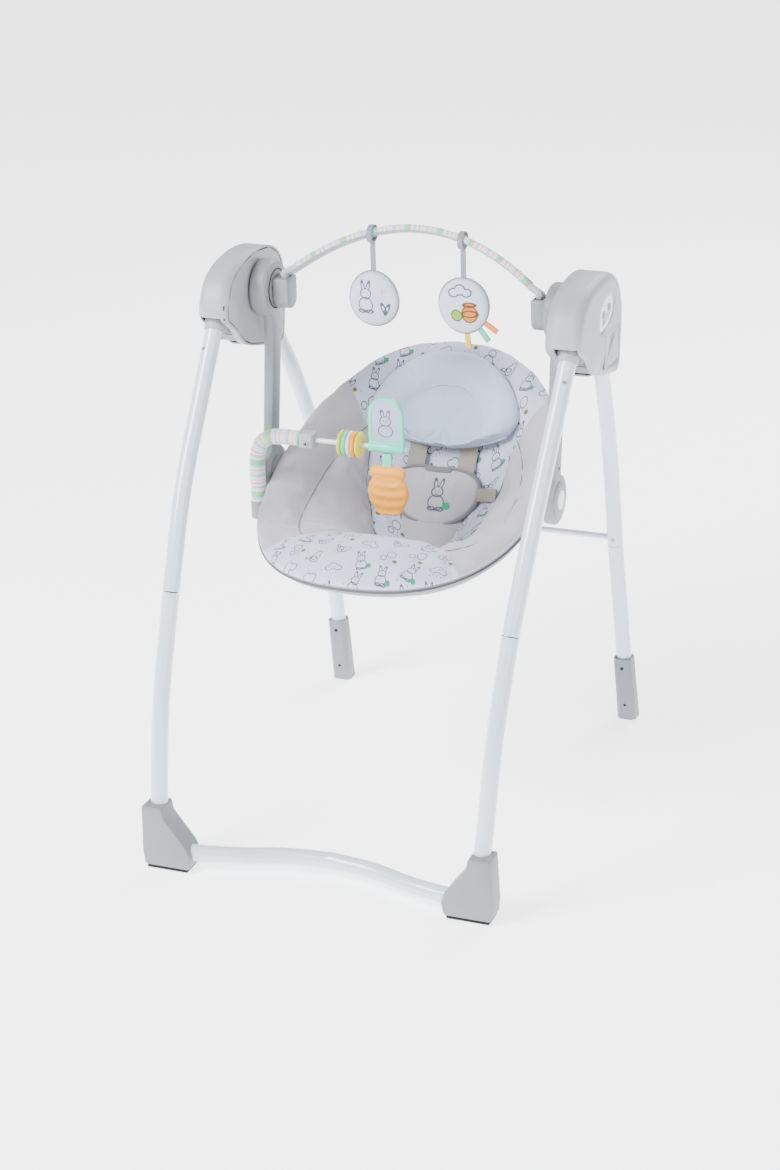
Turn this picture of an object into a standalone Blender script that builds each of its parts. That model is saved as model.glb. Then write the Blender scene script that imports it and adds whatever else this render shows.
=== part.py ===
"""Portable battery baby swing: a tubular frame, two hubs, a swinging reclining seat and its hanging toys.

Metres, +Z up, the front of the swing faces -Y, the origin lies on the floor between the four feet.
"""

import math

import bmesh
import bpy
import numpy as np
from mathutils import Matrix, Vector

# --- driving dimensions ---
GAP = 0.0003

HUB_Y = 0.085
HUB_Z = 0.812
AXLE_R = 0.006
AXLE_X = (0.2235, 0.3090)

LEG_R = 0.0135
REAR_R = 0.013
FRONT_TOP = (0.2930, -0.0175, 0.7755)
FRONT_UPPER = [(0.2925, 0.0030, 0.8034), FRONT_TOP, (0.2905, -0.0950, 0.6700), (0.2870, -0.1770, 0.5550),
               (0.2790, -0.2540, 0.4160)]
FRONT_BASE = [(0.2790, -0.2540, 0.4160), (0.2740, -0.3180, 0.2700), (0.2700, -0.3530, 0.1400),
              (0.2640, -0.3650, 0.0780), (0.2500, -0.3665, 0.0440), (0.2220, -0.3660, 0.0290),
              (0.1500, -0.3500, 0.0255), (0.0750, -0.3270, 0.0255), (0.0, -0.3170, 0.0255)]
REAR_UPPER = [(0.2780, 0.1620, 0.7300), (0.2775, 0.1880, 0.6900), (0.2725, 0.2220, 0.6300),
              (0.2680, 0.2550, 0.5600), (0.2640, 0.2830, 0.4900), (0.2620, 0.3020, 0.4150), (0.2620, 0.3125, 0.3450)]
REAR_FOOT_TOP = (0.2650, 0.3500, 0.1230)
REAR_FOOT_BOTTOM = (0.2680, 0.3710, 0.0)
REAR_FOOT_HALF = 0.0165
CROSSBAR_R = 0.005
CROSSBAR_Y = 0.3110
CROSSBAR_Z = 0.3560
SHOE_FRONT_Y = -0.3875
SHOE_BACK_Y = -0.3455
SOLE_H = 0.0050

HOUSING_X = (0.2620, 0.3160)
HOUSING_WALL = 0.0035
HOUSING_OUTLINE = [(-0.0335, 0.7890), (-0.0310, 0.8180), (-0.0120, 0.8470), (0.0250, 0.8660), (0.0800, 0.8735),
                   (0.1320, 0.8680), (0.1660, 0.8490), (0.1830, 0.8180), (0.1860, 0.7850), (0.1800, 0.7450),
                   (0.1740, 0.7120), (0.1640, 0.6990), (0.1450, 0.7000), (0.0980, 0.7110), (0.0500, 0.7240),
                   (0.0200, 0.7390), (-0.0030, 0.7640)]

HEAD_R = 0.046
HEAD_X = (0.2305, 0.2585)
ARM_X = (0.2326, 0.2500)
ARM_HALF_Y = 0.0155
RECLINE_Y = 0.058
RECLINE_Z = 0.515
RECLINE_R = 0.040
BRACKET_X = (0.2293, 0.2323)
STUB_R = 0.0100

SEAT_TILT = math.radians(22.35)
SEAT_CENTRE = (0.0398, 0.5584)
SEAT_HALF_L = 0.2906
SEAT_HALF_W = 0.2285
SEAT_POWER = 2.0 / 2.2553
SEAT_SAG = 0.0414
SEAT_BOTTOM = (0.0, 0.1150, 0.3500)
RING_INSET = 0.0118
RING_R = 0.0070
PAD_THICK = 0.0120

BAR_END = (0.2140, 0.0850, 0.8340)
BAR_TOP_Y = 0.1220
BAR_TOP_Z = 0.9150
BAR_HALF = (0.0095, 0.0055)

TOY_Y = 0.004
TOY_TUBE_X = -0.2430
TOY_TUBE_R = 0.0120
ROD_Z = 0.5920
ROD_R = 0.0040
RING_PITCH = 0.0076

PALETTE = {
    "white_enamel": (0.86, 0.89, 0.92, 0.15, 0.25),
    "grey_housing": (0.62, 0.64, 0.66, 0.0, 0.45),
    "grey_arm": (0.50, 0.52, 0.54, 0.0, 0.45),
    "grey_foot": (0.48, 0.50, 0.52, 0.0, 0.55),
    "dark_rubber": (0.06, 0.06, 0.065, 0.0, 0.9),
    "steel": (0.55, 0.56, 0.58, 1.0, 0.3),
    "white_plastic": (0.85, 0.86, 0.87, 0.0, 0.35),
    "board_green": (0.05, 0.22, 0.12, 0.0, 0.6),
    "battery_black": (0.08, 0.08, 0.09, 0.0, 0.5),
    "print_fabric": (0.76, 0.78, 0.88, 0.0, 0.95),
    "pillow_fabric": (0.70, 0.74, 0.86, 0.0, 0.95),
    "pad_fabric": (0.60, 0.60, 0.63, 0.0, 0.95),
    "webbing": (0.42, 0.40, 0.37, 0.0, 0.95),
    "stripe_fabric": (0.74, 0.76, 0.86, 0.0, 0.95),
    "mint": (0.24, 0.80, 0.63, 0.0, 0.4),
    "yellow": (0.80, 0.72, 0.12, 0.0, 0.4),
    "orange": (0.90, 0.45, 0.10, 0.0, 0.45),
}


# --- scene helpers ---
def clear_scene():
    for obj in list(bpy.data.objects):
        bpy.data.objects.remove(obj, do_unlink=True)


def collection(name):
    found = bpy.data.collections.get(name)
    if found is None:
        found = bpy.data.collections.new(name)
        bpy.context.scene.collection.children.link(found)
    return found


def material(name):
    found = bpy.data.materials.get(name)
    if found is None:
        red, green, blue, metal, rough = PALETTE[name]
        found = bpy.data.materials.new(name)
        found.use_nodes = True
        shader = found.node_tree.nodes["Principled BSDF"]
        shader.inputs["Base Color"].default_value = (red, green, blue, 1.0)
        shader.inputs["Metallic"].default_value = metal
        shader.inputs["Roughness"].default_value = rough
    return found


def place(obj, finish):
    """Puts a finished part in the collection of the swing with its material."""
    collection("baby_swing").objects.link(obj)
    obj.data.materials.append(material(finish))
    return obj


def as_cutter(obj):
    """Keeps a helper body out of the part."""
    collection("cutters").objects.link(obj)
    obj.hide_render = True
    obj.display_type = "WIRE"
    return obj


def boolean(obj, other, operation):
    step = obj.modifiers.new(operation.lower(), "BOOLEAN")
    step.operation = operation
    step.solver = "EXACT"
    step.object = other
    return obj


def bevel(obj, width, segments=2, angle=40.0):
    step = obj.modifiers.new("round", "BEVEL")
    step.width = width
    step.segments = segments
    step.limit_method = "ANGLE"
    step.angle_limit = math.radians(angle)
    step.harden_normals = False
    return obj


def mesh_object(name, verts, faces):
    data = bpy.data.meshes.new(name)
    data.from_pydata([tuple(float(c) for c in v) for v in verts], [], [list(f) for f in faces])
    work = bmesh.new()
    work.from_mesh(data)
    bmesh.ops.remove_doubles(work, verts=work.verts, dist=1e-6)
    bmesh.ops.recalc_face_normals(work, faces=work.faces)
    work.to_mesh(data)
    work.free()
    return bpy.data.objects.new(name, data)


def mirrored(points, side):
    return [(p[0] * side, p[1], p[2]) for p in points]


def smooth_path(points, steps=3):
    """A Catmull-Rom line through the points."""
    pts = [Vector(p) for p in points]
    pts = [pts[0] * 2 - pts[1]] + pts + [pts[-1] * 2 - pts[-2]]
    line = []
    for i in range(1, len(pts) - 2):
        a, b, c, d = pts[i - 1:i + 3]
        for k in range(steps):
            t = k / steps
            line.append(0.5 * (2 * b + (c - a) * t + (2 * a - 5 * b + 4 * c - d) * t * t
                               + (3 * b - a - 3 * c + d) * t ** 3))
    line.append(pts[-2])
    return [tuple(p) for p in line]


def tube(name, points, radius, resolution=4, closed=False):
    """A round bar along a line of points."""
    curve = bpy.data.curves.new(name, "CURVE")
    curve.dimensions = "3D"
    curve.bevel_depth = radius
    curve.bevel_resolution = resolution
    curve.use_fill_caps = True
    spline = curve.splines.new("POLY")
    spline.points.add(len(points) - 1)
    for point, at in zip(spline.points, points):
        point.co = (at[0], at[1], at[2], 1.0)
    spline.use_cyclic_u = closed
    return bpy.data.objects.new(name, curve)


def tube_mesh(name, points, radius, resolution=4, closed=False):
    """The same bar as a welded mesh, for Booleans."""
    source = tube(name + "_line", points, radius, resolution, closed)
    data = bpy.data.meshes.new_from_object(source)
    bpy.data.objects.remove(source, do_unlink=True)
    work = bmesh.new()
    work.from_mesh(data)
    bmesh.ops.remove_doubles(work, verts=work.verts, dist=1e-6)
    bmesh.ops.recalc_face_normals(work, faces=work.faces)
    work.to_mesh(data)
    work.free()
    return bpy.data.objects.new(name, data)


def loft(name, loops, closed=False):
    """A closed body through loops of equally many points; open ends get a flat face."""
    count = len(loops[0])
    verts = [p for loop in loops for p in loop]
    faces = []
    spans = len(loops) if closed else len(loops) - 1
    for i in range(spans):
        a = i * count
        b = ((i + 1) % len(loops)) * count
        for j in range(count):
            k = (j + 1) % count
            faces.append((a + j, a + k, b + k, b + j))
    if not closed:
        faces.append(tuple(range(count)))
        faces.append(tuple(range(len(verts) - count, len(verts))))
    return mesh_object(name, verts, faces)


def prism_x(name, outline, x0, x1):
    """An outline of (y, z) points pushed along X."""
    return loft(name, [[(x, y, z) for y, z in outline] for x in (x0, x1)])


def circle_yz(y, z, radius, count=28):
    return [(y + radius * math.cos(2 * math.pi * i / count), z + radius * math.sin(2 * math.pi * i / count))
            for i in range(count)]


def disc_x(name, y, z, radius, x0, x1, count=28):
    return prism_x(name, circle_yz(y, z, radius, count), x0, x1)


def turned_x(name, y, z, profile, count=24):
    """Rings of (x, radius) pairs around a line along X; the last ring meets the first."""
    loops = [[(x, py, pz) for py, pz in circle_yz(y, z, radius, count)] for x, radius in profile]
    return loft(name, loops, closed=True)


def inset(outline, amount):
    """The outline moved inwards along its corner normals."""
    pts = np.array(outline)
    area = 0.5 * np.sum(pts[:, 0] * np.roll(pts[:, 1], -1) - np.roll(pts[:, 0], -1) * pts[:, 1])
    turn = 1.0 if area > 0 else -1.0
    out = []
    for i in range(len(pts)):
        before = pts[i] - pts[i - 1]
        after = pts[(i + 1) % len(pts)] - pts[i]
        n1 = turn * np.array([-before[1], before[0]]) / np.linalg.norm(before)
        n2 = turn * np.array([-after[1], after[0]]) / np.linalg.norm(after)
        mid = n1 + n2
        mid = mid / np.dot(mid, n1)
        out.append(tuple(pts[i] + mid * amount))
    return out


def sweep(name, points, half_a, half_b, normal, sides=10, square=0.0, steps=3):
    """A flattened bar: half_a along the given normal, half_b across it and the path."""
    line = [np.array(p) for p in smooth_path(points, steps)]
    axis = np.array(normal, float)
    axis /= np.linalg.norm(axis)
    loops = []
    for i, p in enumerate(line):
        way = line[min(i + 1, len(line) - 1)] - line[max(i - 1, 0)]
        way /= np.linalg.norm(way)
        a = axis - way * np.dot(axis, way)
        a /= np.linalg.norm(a)
        b = np.cross(way, a)
        loop = []
        for j in range(sides):
            turn = 2 * math.pi * (j + 0.5) / sides
            c, s = math.cos(turn), math.sin(turn)
            power = 1.0 - square
            loop.append(tuple(p + a * half_a * math.copysign(abs(c) ** power, c)
                              + b * half_b * math.copysign(abs(s) ** power, s)))
        loops.append(loop)
    return loft(name, loops)


def side_name(base, side):
    return f"{base}_{'right' if side > 0 else 'left'}"


# --- frame tubes and feet ---
def seam_way():
    """The direction down the right front leg where its two tubes meet."""
    return (Vector(FRONT_BASE[1]) - Vector(FRONT_UPPER[-2])).normalized()


def front_leg_line():
    line = smooth_path(FRONT_UPPER, 3)
    seam = Vector(FRONT_UPPER[-1])
    return line[:-1] + [tuple(seam - seam_way() * 0.008), tuple(seam)]


def front_leg_tube(side):
    line = front_leg_line()
    return place(tube(side_name("front_leg_tube", side), mirrored(line, side), LEG_R, 4), "white_enamel")


def base_line():
    half = smooth_path(FRONT_BASE, 2)[1:]
    seam = Vector(FRONT_BASE[0])
    right = [tuple(seam + seam_way() * GAP), tuple(seam + seam_way() * 0.008)] + half
    return right + [(-x, y, z) for x, y, z in reversed(right[:-1])]


def front_base_tube():
    return place(tube("front_base_tube", base_line(), LEG_R, 4), "white_enamel")


def front_foot(side):
    """A shoe around the lower outside corner of the base tube."""
    outline = [(0.2880, 0.1080), (0.2910, 0.0300), (0.2880, SOLE_H + GAP), (0.2120, SOLE_H + GAP),
               (0.2080, 0.0260), (0.2150, 0.0440), (0.2500, 0.0900), (0.2530, 0.1080)]
    loops = [[(x * side, y, z) for x, z in outline] for y in (SHOE_FRONT_Y, SHOE_BACK_Y)]
    shoe = loft(side_name("front_foot", side), loops)
    bevel(shoe, 0.004, 2)
    bore = as_cutter(tube_mesh(side_name("foot_bore", side), base_line(), LEG_R + GAP, 4))
    boolean(shoe, bore, "DIFFERENCE")
    return place(shoe, "grey_foot")


def front_sole(side):
    outline = [(0.2850, SOLE_H), (0.2850, 0.0), (0.2160, 0.0), (0.2160, SOLE_H)]
    loops = [[(x * side, y, z) for x, z in outline] for y in (SHOE_FRONT_Y + 0.003, SHOE_BACK_Y - 0.003)]
    return place(loft(side_name("front_sole", side), loops), "dark_rubber")


def rear_axis_point(fraction):
    a = Vector(REAR_UPPER[-1])
    b = Vector(REAR_FOOT_BOTTOM)
    return a.lerp(b, fraction)


def rear_leg_tube(side):
    line = smooth_path(REAR_UPPER, 3)
    seam = rear_axis_point(0.0)
    way = (rear_axis_point(1.0) - seam).normalized()
    line = line[:-1] + [tuple(seam - way * 0.008), tuple(seam)]
    return place(tube(side_name("rear_leg_tube", side), mirrored(line, side), REAR_R, 4), "white_enamel")


def rear_lower_tube(side):
    a = rear_axis_point(0.0) + (rear_axis_point(1.0) - rear_axis_point(0.0)).normalized() * GAP
    b = rear_axis_point(0.93)
    return place(tube(side_name("rear_lower_tube", side), mirrored([a, b], side), REAR_R, 4), "white_enamel")


def rear_crossbar():
    reach = REAR_UPPER[-1][0] - REAR_R - GAP
    bar = tube("rear_crossbar", [(-reach, CROSSBAR_Y, CROSSBAR_Z), (reach, CROSSBAR_Y, CROSSBAR_Z)],
               CROSSBAR_R, 3)
    return place(bar, "white_enamel")


def rear_foot(side):
    """A tapering sleeve with a closed flat end on the floor."""
    loops = []
    for z, half in ((0.0, REAR_FOOT_HALF), (0.0500, REAR_FOOT_HALF), (0.1230, REAR_FOOT_HALF - 0.0010)):
        t = (REAR_UPPER[-1][2] - z) / (REAR_UPPER[-1][2] - 0.0)
        c = rear_axis_point(t)
        cut = half * 0.62
        ring = [(half, -cut), (half, cut), (cut, half), (-cut, half), (-half, cut), (-half, -cut), (-cut, -half),
                (cut, -half)]
        loops.append([((c.x + dx) * side, c.y + dy, z) for dx, dy in ring])
    foot = loft(side_name("rear_foot", side), loops)
    bore_line = mirrored([rear_axis_point(0.5), rear_axis_point(0.9315)], side)
    bore = as_cutter(tube_mesh(side_name("rear_foot_bore", side), bore_line, REAR_R + GAP, 4))
    boolean(foot, bore, "DIFFERENCE")
    return place(foot, "grey_foot")


# --- hub housings ---
def leg_slot(side):
    """The room the front leg socket needs in the housing wall over its folding travel."""
    pts = []
    for degrees, radius in ((86, 0.060), (86, 0.160), (50, 0.160), (19, 0.160), (19, 0.060)):
        turn = math.radians(degrees)
        pts.append((HUB_Y - radius * math.sin(turn), HUB_Z - radius * math.cos(turn)))
    return as_cutter(prism_x(side_name("leg_slot", side), pts, 0.2735 * side, 0.3120 * side))


def housing_shell(side):
    x0, x1 = HOUSING_X
    round_1 = inset(HOUSING_OUTLINE, 0.0025)
    round_2 = inset(HOUSING_OUTLINE, 0.0090)
    rings = [(x0, HOUSING_OUTLINE), (0.3000, HOUSING_OUTLINE), (0.3100, round_1), (x1, round_2)]
    shell = loft(side_name("housing_shell", side), [[(x * side, y, z) for y, z in ring] for x, ring in rings])
    hollow = inset(HOUSING_OUTLINE, HOUSING_WALL)
    hollow_top = inset(HOUSING_OUTLINE, 0.0095)
    cavity = loft(side_name("housing_cavity", side),
                  [[(x * side, y, z) for y, z in ring]
                   for x, ring in ((x0 - 0.010, hollow), (0.3040, hollow), (0.3125, hollow_top))])
    boolean(shell, as_cutter(cavity), "DIFFERENCE")
    boolean(shell, leg_slot(side), "DIFFERENCE")
    hole = tube_mesh(side_name("rear_leg_hole", side), smooth_path(mirrored(REAR_UPPER[:3], side), 3),
                     REAR_R + GAP, 4)
    boolean(shell, as_cutter(hole), "DIFFERENCE")
    if side > 0:
        boolean(shell, as_cutter(prism_x("panel_recess", panel_outline(GAP), 0.3139, 0.330)), "DIFFERENCE")
        for i, (y, z) in enumerate(BUTTONS):
            hole = disc_x(f"panel_hole_{i}", y, z, BUTTON_R + 0.0012, 0.300, 0.330, 16)
            boolean(shell, as_cutter(hole), "DIFFERENCE")
        door = prism_x("door_opening", door_outline(GAP), 0.300, 0.330)
        boolean(shell, as_cutter(door), "DIFFERENCE")
    return place(shell, "grey_housing")


def housing_cover(side):
    """The flat inner plate that closes a housing around the axle and the legs."""
    plate = prism_x(side_name("housing_cover", side), inset(HOUSING_OUTLINE, HOUSING_WALL + GAP),
                    (HOUSING_X[0] + GAP) * side, (HOUSING_X[0] + 0.0023) * side)
    boolean(plate, as_cutter(disc_x(side_name("cover_hole", side), HUB_Y, HUB_Z, AXLE_R + GAP,
                                    0.25 * side, 0.28 * side, 20)), "DIFFERENCE")
    hole = tube_mesh(side_name("cover_leg_hole", side), smooth_path(mirrored(REAR_UPPER[:3], side), 3),
                     REAR_R + 2 * GAP, 4)
    boolean(plate, as_cutter(hole), "DIFFERENCE")
    return place(plate, "grey_housing")


def pivot_axle(side):
    return place(disc_x(side_name("pivot_axle", side), HUB_Y, HUB_Z, AXLE_R, AXLE_X[0] * side,
                        AXLE_X[1] * side, 20), "steel")


def front_leg_socket(side):
    """Sleeve on top of the front leg with a web to the bearing around the axle."""
    top = Vector(FRONT_UPPER[1])
    way = (Vector(FRONT_UPPER[0]) - top).normalized()
    ends = [top, top + way * 0.0440]
    socket = tube_mesh(side_name("front_leg_socket", side), mirrored(ends, side), 0.0172, 4)
    web = prism_x(side_name("socket_web", side),
                  [(0.0150, 0.8270), (0.0860, 0.8360), (0.0860, 0.7880), (0.0050, 0.7830), (-0.0010, 0.8000)],
                  0.2840 * side, 0.3020 * side)
    boolean(socket, as_cutter(web), "UNION")
    hub = disc_x(side_name("socket_hub", side), HUB_Y, HUB_Z, 0.0270, 0.2780 * side, 0.3080 * side, 24)
    boolean(socket, as_cutter(hub), "UNION")
    line = [tuple(Vector(FRONT_UPPER[0]) + way * GAP)] + front_leg_line()[:5]
    bore = tube_mesh(side_name("socket_bore", side), mirrored(line, side), LEG_R + GAP, 4)
    boolean(socket, as_cutter(bore), "DIFFERENCE")
    boolean(socket, as_cutter(disc_x(side_name("socket_axle", side), HUB_Y, HUB_Z, AXLE_R + GAP,
                                     0.25 * side, 0.33 * side, 20)), "DIFFERENCE")
    return place(socket, "grey_arm")


# --- drive, controls and battery box in the right housing ---
BUTTONS = [(0.0850, 0.8130), (0.1120, 0.8190)]
BUTTON_R = 0.0060


def panel_outline(grow=0.0):
    """A leaf-shaped plate around the two buttons."""
    pts = [(0.0640, 0.7950), (0.0660, 0.8180), (0.0800, 0.8320), (0.1050, 0.8370), (0.1260, 0.8330),
           (0.1320, 0.8200), (0.1230, 0.8030), (0.1000, 0.7930), (0.0760, 0.7900)]
    return inset(pts, -grow)


def control_panel():
    panel = prism_x("control_panel", panel_outline(), 0.3142, 0.3154)
    for i, (y, z) in enumerate(BUTTONS):
        hole = disc_x(f"plate_hole_{i}", y, z, BUTTON_R + GAP, 0.300, 0.330, 16)
        boolean(panel, as_cutter(hole), "DIFFERENCE")
    return place(panel, "white_plastic")


def control_button(name, y, z):
    return place(disc_x(name, y, z, BUTTON_R, 0.3122, 0.3160, 16), "grey_arm")


def door_outline(grow=0.0):
    y0, y1 = 0.0900 - grow, 0.1560 + grow
    z0, z1 = 0.7240 - grow, 0.7800 + grow
    return [(y0, z0), (y1, z0), (y1, z1), (y0, z1)]


def battery_door():
    return place(prism_x("battery_door", door_outline(), 0.3130, 0.3158), "grey_housing")


def battery_pack():
    """Two cells side by side, one body, behind the door."""
    pack = disc_x("battery_pack", 0.1120, 0.7530, 0.0126, 0.2860, 0.3120, 20)
    other = disc_x("battery_cell", 0.1400, 0.7530, 0.0126, 0.2860, 0.3120, 20)
    boolean(pack, as_cutter(other), "UNION")
    link = prism_x("battery_link", [(0.112, 0.745), (0.140, 0.745), (0.140, 0.761), (0.112, 0.761)],
                   0.2880, 0.3100)
    boolean(pack, as_cutter(link), "UNION")
    return place(pack, "battery_black")


def drive_motor():
    return place(disc_x("drive_motor", 0.1500, 0.8120, 0.0150, 0.2700, 0.3000, 20), "steel")


def circuit_board():
    outline = [(0.0700, 0.8420), (0.1400, 0.8420), (0.1400, 0.8580), (0.0700, 0.8580)]
    return place(prism_x("circuit_board", outline, 0.2960, 0.2976), "board_green")


# --- swinging arms ---
def hanger_arm(side):
    """Round head on the axle, straight drop bar and a round recline boss, one moulding."""
    rings = [(HEAD_X[1], HEAD_R - 0.002), (HEAD_X[1] - 0.003, HEAD_R), (HEAD_X[0] + 0.006, HEAD_R),
             (HEAD_X[0] + 0.0015, HEAD_R - 0.003), (HEAD_X[0], HEAD_R - 0.009)]
    arm = loft(side_name("hanger_arm", side),
               [[(x * side, y, z) for y, z in circle_yz(HUB_Y, HUB_Z, radius, 32)] for x, radius in rings])
    bar = [(HUB_Y - 0.0200, HUB_Z - 0.020), (HUB_Y - 0.0170, 0.740), (RECLINE_Y - ARM_HALF_Y, 0.560),
           (RECLINE_Y - ARM_HALF_Y, RECLINE_Z), (RECLINE_Y + ARM_HALF_Y, RECLINE_Z),
           (RECLINE_Y + ARM_HALF_Y, 0.560), (HUB_Y + 0.0170, 0.740), (HUB_Y + 0.0200, HUB_Z - 0.020)]
    drop = prism_x(side_name("drop_bar", side), bar, ARM_X[0] * side, ARM_X[1] * side)
    bevel(drop, 0.004, 2)
    boolean(arm, as_cutter(drop), "UNION")
    boss = disc_x(side_name("recline_boss", side), RECLINE_Y, RECLINE_Z, RECLINE_R, ARM_X[0] * side,
                  ARM_X[1] * side, 32)
    bevel(boss, 0.003, 2)
    boolean(arm, as_cutter(boss), "UNION")
    boolean(arm, as_cutter(disc_x(side_name("arm_axle", side), HUB_Y, HUB_Z, AXLE_R + GAP,
                                  (AXLE_X[0] - 0.001) * side, 0.27 * side, 20)), "DIFFERENCE")
    boolean(arm, as_cutter(disc_x(side_name("arm_pin", side), RECLINE_Y, RECLINE_Z, 0.0073,
                                  0.2200 * side, 0.2440 * side, 20)), "DIFFERENCE")
    return place(arm, "grey_arm")


def recline_cap():
    return place(disc_x("recline_cap", RECLINE_Y, RECLINE_Z, 0.0160, ARM_X[1] + GAP, ARM_X[1] + 0.0020, 24),
                 "white_plastic")


# --- toy bar ---
def pocket_outline(half, low, high, steps=8):
    pts = [(HUB_Y - half, high), (HUB_Y - half, low + half)]
    for i in range(1, steps):
        turn = math.pi + math.pi * i / steps
        pts.append((HUB_Y + half * math.cos(turn), low + half + half * math.sin(turn)))
    pts += [(HUB_Y + half, low + half), (HUB_Y + half, high)]
    return pts


def toy_bar_socket(side):
    """A U-shaped pocket on the inner face of the arm head, open at its top for the bar."""
    socket = prism_x(side_name("toy_bar_socket", side), pocket_outline(0.0190, 0.7810, 0.8325),
                     0.2030 * side, (HEAD_X[0] - GAP) * side)
    bevel(socket, 0.003, 2)
    room = 0.0008
    slot = prism_x(side_name("pocket_slot", side), pocket_outline(BAR_HALF[0] + room, 0.8000, 0.8400),
                   (BAR_END[0] - BAR_HALF[1] - room) * side, (BAR_END[0] + BAR_HALF[1] + room) * side)
    boolean(socket, as_cutter(slot), "DIFFERENCE")
    boolean(socket, as_cutter(disc_x(side_name("socket_axle_room", side), HUB_Y, HUB_Z, AXLE_R + GAP,
                                     0.2220 * side, 0.2400 * side, 16)), "DIFFERENCE")
    return place(socket, "grey_arm")


def bar_point(x):
    g = 1.0 - (x / BAR_END[0]) ** 2
    return (x, BAR_END[1] + (BAR_TOP_Y - BAR_END[1]) * g, BAR_END[2] + (BAR_TOP_Z - BAR_END[2]) * g)


def bar_path():
    xs = [-0.198, -0.180, -0.155, -0.115, -0.075, -0.035, 0.0, 0.035, 0.075, 0.115, 0.155, 0.180, 0.198]
    ends = [(BAR_END[0], BAR_END[1], z) for z in (0.8105, 0.8330, 0.8385)]
    left = [(-x, y, z) for x, y, z in ends]
    return left + [bar_point(x) for x in xs] + list(reversed(ends))


BAR_NORMAL = (0.0, BAR_TOP_Z - BAR_END[2], -(BAR_TOP_Y - BAR_END[1]))


def toy_bar():
    bar = sweep("toy_bar", bar_path(), BAR_HALF[0], BAR_HALF[1], BAR_NORMAL, 12, 0.35, 2)
    return place(bar, "grey_housing")


def toy_bar_cover():
    """The fabric strip lying along the top of the bar."""
    normal = Vector(BAR_NORMAL).normalized()
    xs = [-0.175 + 0.350 * i / 16 for i in range(17)]
    loops = []
    for x in xs:
        p = Vector(bar_point(x))
        way = (Vector(bar_point(x + 0.001)) - Vector(bar_point(x - 0.001))).normalized()
        out = normal.cross(way).normalized()
        if out.z < 0:
            out = -out
        near = BAR_HALF[1] + 0.0004
        far = BAR_HALF[1] + 0.0024
        corners = ((-0.0085, near), (0.0085, near), (0.0085, far), (-0.0085, far))
        loops.append([tuple(p + normal * a + out * b) for a, b in corners])
    return place(loft("toy_bar_cover", loops), "stripe_fabric")


PLUSH_X = 0.0760
PLUSH_DROP = 0.0540
PLUSH_HALF = (0.0420, 0.0150, 0.0480)


def plush_toy(side):
    """A stuffed oval pad sewn to a strap that loops round the bar."""
    top = Vector(bar_point(PLUSH_X))
    count = 20
    loops = []
    centre = Vector((PLUSH_X * side, top.y, top.z - 0.010 - PLUSH_DROP - PLUSH_HALF[2] + 0.006))
    for i in range(1, 9):
        turn = math.pi * i / 9
        y = -PLUSH_HALF[1] * math.cos(turn)
        grow = math.sin(turn) ** 0.6
        loops.append([(centre.x + PLUSH_HALF[0] * grow * math.cos(2 * math.pi * j / count), centre.y + y,
                       centre.z + PLUSH_HALF[2] * grow * math.sin(2 * math.pi * j / count))
                      for j in range(count)])
    plush = loft(side_name("hanging_plush", side), loops)
    z0 = centre.z + PLUSH_HALF[2] - 0.006
    z1 = top.z - 0.0135
    strap = loft(side_name("plush_strap", side),
                 [[(centre.x + dx, centre.y + dy, z) for dx, dy in
                   ((-0.0045, -0.0013), (0.0045, -0.0013), (0.0045, 0.0013), (-0.0045, 0.0013))]
                  for z in (z0, z1 + 0.001)])
    boolean(plush, as_cutter(strap), "UNION")
    outer = sweep(side_name("strap_loop", side), loop_points(side, 0.0), 0.0045, 0.0011, (1, 0, 0), 8, 0.5, 1)
    boolean(plush, as_cutter(outer), "UNION")
    return place(plush, "pillow_fabric")


def loop_points(side, grow):
    """An open-ended oval around the bar that closes on the strap."""
    top = Vector(bar_point(PLUSH_X))
    pts = []
    for i in range(15):
        turn = -math.pi / 2 + 0.10 + (2 * math.pi - 0.20) * i / 14
        y = top.y + (0.0150 + grow) * math.cos(turn)
        z = top.z - 0.0005 + (0.0140 + grow) * math.sin(turn)
        pts.append((PLUSH_X * side, y, z))
    return pts


# --- seat ---
def seat_frame():
    tilt = SEAT_TILT
    along = np.array([0.0, math.cos(tilt), math.sin(tilt)])
    normal = np.array([0.0, -math.sin(tilt), math.cos(tilt)])
    centre = np.array([0.0, SEAT_CENTRE[0], SEAT_CENTRE[1]])
    return centre, along, normal


def rim_point(turn, shrink=0.0):
    """A point of the seat outline; turn 0 is the right side, 90 degrees the head end."""
    centre, along, normal = seat_frame()
    c, s = math.cos(turn), math.sin(turn)
    v = (SEAT_HALF_W - shrink) * math.copysign(abs(c) ** SEAT_POWER, c)
    u = (SEAT_HALF_L - shrink) * math.copysign(abs(s) ** SEAT_POWER, s)
    w = -SEAT_SAG * (v / SEAT_HALF_W) ** 2
    return centre + np.array([v, 0.0, 0.0]) + along * u + normal * w


def rim_turns(count):
    """Angles that spread the rim points evenly."""
    fine = [rim_point(2 * math.pi * i / 720) for i in range(721)]
    steps = [0.0]
    for a, b in zip(fine, fine[1:]):
        steps.append(steps[-1] + float(np.linalg.norm(b - a)))
    marks = [steps[-1] * i / count for i in range(count)]
    return [2 * math.pi * np.interp(m, steps, range(721)) / 720 for m in marks]


def seat_ring():
    line = [tuple(rim_point(t, RING_INSET)) for t in rim_turns(40)]
    return place(tube("seat_ring", line, RING_R, 3, True), "steel")


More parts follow.
